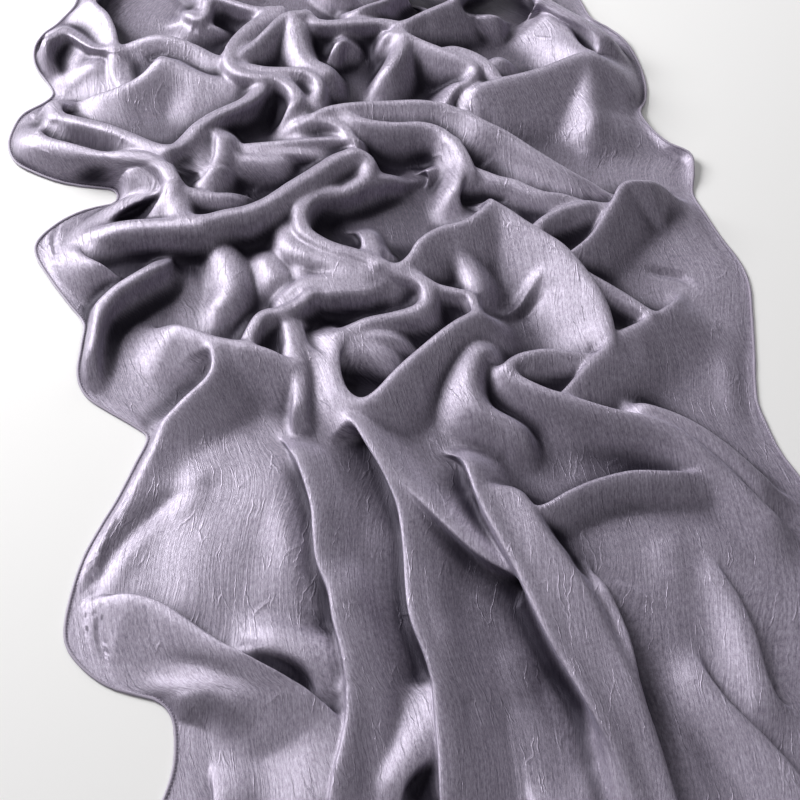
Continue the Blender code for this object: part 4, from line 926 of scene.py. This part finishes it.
def rolled_hem(path, seed):
    """Rings of a flat ellipse carried along the edge, each swollen and turned a little by the sewing."""
    along = lengths_along(path)
    out = outward_from(path)
    pinch = PINCHED_BY * np.sin(2 * np.pi * along / STITCH_PITCH)
    swell = 1 + SWOLLEN_BY * smooth_noise(along / SWOLLEN_EVERY, along * 0, seed) + pinch
    turn = TURNED_BY * smooth_noise(along / TURNED_EVERY, along * 0, seed + 1)
    around = np.linspace(0, 2 * np.pi, HEM_SIDES, endpoint=False)[None, :] + turn[:, None]
    wide = 0.5 * HEM_WIDTH * swell[:, None] * np.cos(around)
    high = 0.5 * HEM_HEIGHT * swell[:, None] * np.sin(around)
    centre = path[:, :2] + out * (0.5 * HEM_WIDTH - HEM_LAP)
    level = path[:, 2] - SHELL + 0.5 * HEM_HEIGHT
    rings = np.empty((len(path), HEM_SIDES, 3))
    rings[..., :2] = centre[:, None] + out[:, None] * wide[..., None]
    rings[..., 2] = np.maximum(level[:, None] + high, 0)
    return rings, along


def hem_mesh(name, path, seed):
    """A closed tube over the rings, with lengths along and round it as its UV map."""
    rings, along = rolled_hem(path, seed)
    count = len(rings)
    index = np.arange(count * HEM_SIDES).reshape(count, HEM_SIDES)
    around = np.roll(index, -1, axis=1)
    quads = np.stack([index[:-1], index[1:], around[1:], around[:-1]], -1).reshape(-1, 4)
    faces = quads.tolist() + [index[0].tolist(), index[-1, ::-1].tolist()]
    mesh = bpy.data.meshes.new(name)
    mesh.from_pydata((rings.reshape(-1, 3) * MM).tolist(), [], faces)
    mesh.polygons.foreach_set("use_smooth", np.ones(len(faces), bool))
    layer = mesh.uv_layers.new(name="flat cut")
    corner = np.empty(len(mesh.loops), int)
    mesh.loops.foreach_get("vertex_index", corner)
    uv = np.stack([(corner % HEM_SIDES) * HEM_FACE, along[corner // HEM_SIDES]], -1) * MM
    layer.data.foreach_set("uv", uv.ravel())
    return mesh


def stitch_row(name, path):
    """Slanted stitches at an even pitch over the inner side of a hem, each a bar of eight points."""
    along = lengths_along(path)
    at = np.arange(FIRST_STITCH, along[-1] - FIRST_STITCH, STITCH_PITCH)
    place = np.stack([np.interp(at, along, path[:, k]) for k in range(3)], -1)
    out = outward_from(path)
    out = np.stack([np.interp(at, along, out[:, k]) for k in range(2)], -1)
    run = np.stack([-out[:, 1], out[:, 0]], -1)
    slant = run * STITCH_SLANT[0] + out * STITCH_SLANT[1]
    slant /= np.linalg.norm(slant, axis=1, keepdims=True)
    across = np.stack([-slant[:, 1], slant[:, 0]], -1)
    middle = place[:, :2] - out * STITCH_INSET
    points = []
    for end, rise_by in STITCH_ENDS:
        for side, up in STITCH_CORNERS:
            level = place[:, 2] - SHELL + HEM_HEIGHT + STITCH_WIDTH * up + rise_by - STITCH_SUNK
            flat = middle + slant * STITCH_LENGTH * end + across * STITCH_WIDTH * side
            points.append(np.column_stack([flat, level]))
    points = np.stack(points, 1)
    bar = np.array([(0, 1, 2, 3), (7, 6, 5, 4), (0, 4, 5, 1), (1, 5, 6, 2), (2, 6, 7, 3), (3, 7, 4, 0)])
    faces = (np.arange(len(at))[:, None, None] * 8 + bar[None]).reshape(-1, 4)
    mesh = bpy.data.meshes.new(name)
    mesh.from_pydata((points.reshape(-1, 3) * MM).tolist(), [], faces.tolist())
    return mesh


def hem_satin():
    """The same satin, wound tight, so that its floats run round the roll in a fine slanting grain."""
    gloss = {"Roughness": 0.45, "Specular IOR Level": 0.5}
    material, tree, shader = new_material("rolled hem satin", gloss)
    flat_cut = node(tree, "UVMap", {"uv_map": "flat cut"})
    turned = {"Scale": (500.0, 900.0, 1.0), "Rotation": (0, 0, 0.5)}
    grain_map = node(tree, "Mapping", turned, {"Vector": flat_cut})
    grain = node(tree, "TexNoise", {"Scale": 1.0, "Detail": 2.0}, {"Vector": grain_map})
    # Painted light: the hem's tones are lighter than the cloth's to offset the shade along the edge; the grain
    # between them is the satin's own.
    tone_ends = {"data_type": "RGBA", 6: linear("#9b93a4"), 7: linear("#bab2c2")}
    tone = node(tree, "Mix", tone_ends, {0: grain}, 2)
    bump = node(tree, "Bump", {"Strength": 0.4, "Distance": 0.0004}, {"Height": grain})
    tree.links.new(tone, shader.inputs["Base Color"])
    tree.links.new(bump, shader.inputs["Normal"])
    return material


def sewing_thread():
    """Two-ply polyester thread, a shade lighter than the cloth, with its twist as a faint grain."""
    material, tree, shader = new_material("polyester sewing thread", {"Roughness": 0.5})
    place = node(tree, "TexCoord", output="Object")
    twist = node(tree, "TexWave", {"Scale": 900.0, "Distortion": 1.0}, {"Vector": place}, "Fac")
    tone_ends = {"data_type": "RGBA", 6: linear("#aaa2b2"), 7: linear("#c8c0cf")}
    tone = node(tree, "Mix", tone_ends, {0: twist}, 2)
    tree.links.new(tone, shader.inputs["Base Color"])
    return material


rolled = hem_satin()
thread = sewing_thread()
sides = {
    "left": top[::HEM_STEP, 0],
    "near": top[-1, ::HEM_STEP],
    "right": top[::-HEM_STEP, -1],
    "far": top[0, ::-HEM_STEP],
}
for seed, (side, path) in enumerate(sides.items()):
    hem = bpy.data.objects.new(f"rolled_hem_{side}", hem_mesh(f"rolled_hem_{side}", path, HEM_SEED + 2 * seed))
    hem.data.materials.append(rolled)
    stitches = bpy.data.objects.new(f"hem_stitches_{side}", stitch_row(f"hem_stitches_{side}", path))
    stitches.data.materials.append(thread)
    for piece in (hem, stitches):
        bpy.context.scene.collection.objects.link(piece)
        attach(piece, "root")
    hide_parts(f"hem_{side}")

# The floor, the light and the camera
# A plain pale floor, a large soft window light from the left and behind, and a weak fill.
floor_mesh = bpy.data.meshes.new("floor")
floor_mesh.from_pydata([(-6, -6, 0), (6, -6, 0), (6, 6, 0), (-6, 6, 0)], [], [(0, 1, 2, 3)])
floor = bpy.data.objects.new("floor", floor_mesh)
bpy.context.scene.collection.objects.link(floor)
floor_paint = {"Base Color": linear("#f1f0f0"), "Roughness": 0.8}
floor_mesh.materials.append(new_material("pale matt floor", floor_paint)[0])

world = bpy.data.worlds.new("soft white room")
bpy.context.scene.world = world
world.use_nodes = True
background = world.node_tree.nodes["Background"]
background.inputs["Color"].default_value = linear("#ffffff")
background.inputs["Strength"].default_value = 0.09
bpy.context.scene.view_settings.view_transform = "Standard"
bpy.context.scene.view_settings.look = "Medium High Contrast"


LIT_PLACE = (0.0, 0.1, 0.0)


def window(name, place, size, power):
    """A square soft light at a place, turned to the middle of the scarf."""
    light = bpy.data.lights.new(name, "AREA")
    light.size = size
    light.energy = power
    lamp = bpy.data.objects.new(name, light)
    bpy.context.scene.collection.objects.link(lamp)
    lamp.location = place
    lamp.rotation_euler = (Vector(LIT_PLACE) - Vector(place)).to_track_quat("-Z", "Y").to_euler()


window("window", (-2.2, 1.6, 1.6), 1.7, 122)
window("far window", (0.6, 2.6, 1.4), 1.6, 16)
window("ceiling", (0.8, -1.2, 2.6), 2.6, 15)

eye = Vector(EYE) * MM - Vector((shift_x, shift_y, 0)) * MM
aim = Vector((-shift_x, -shift_y, 0)) * MM
lens = bpy.data.cameras.new("camera")
lens.lens = 70
lens.sensor_width = 36
camera = bpy.data.objects.new("camera", lens)
bpy.context.scene.collection.objects.link(camera)
camera.location = eye
camera.rotation_euler = (aim - eye).to_track_quat("-Z", "Y").to_euler()
bpy.context.scene.camera = camera
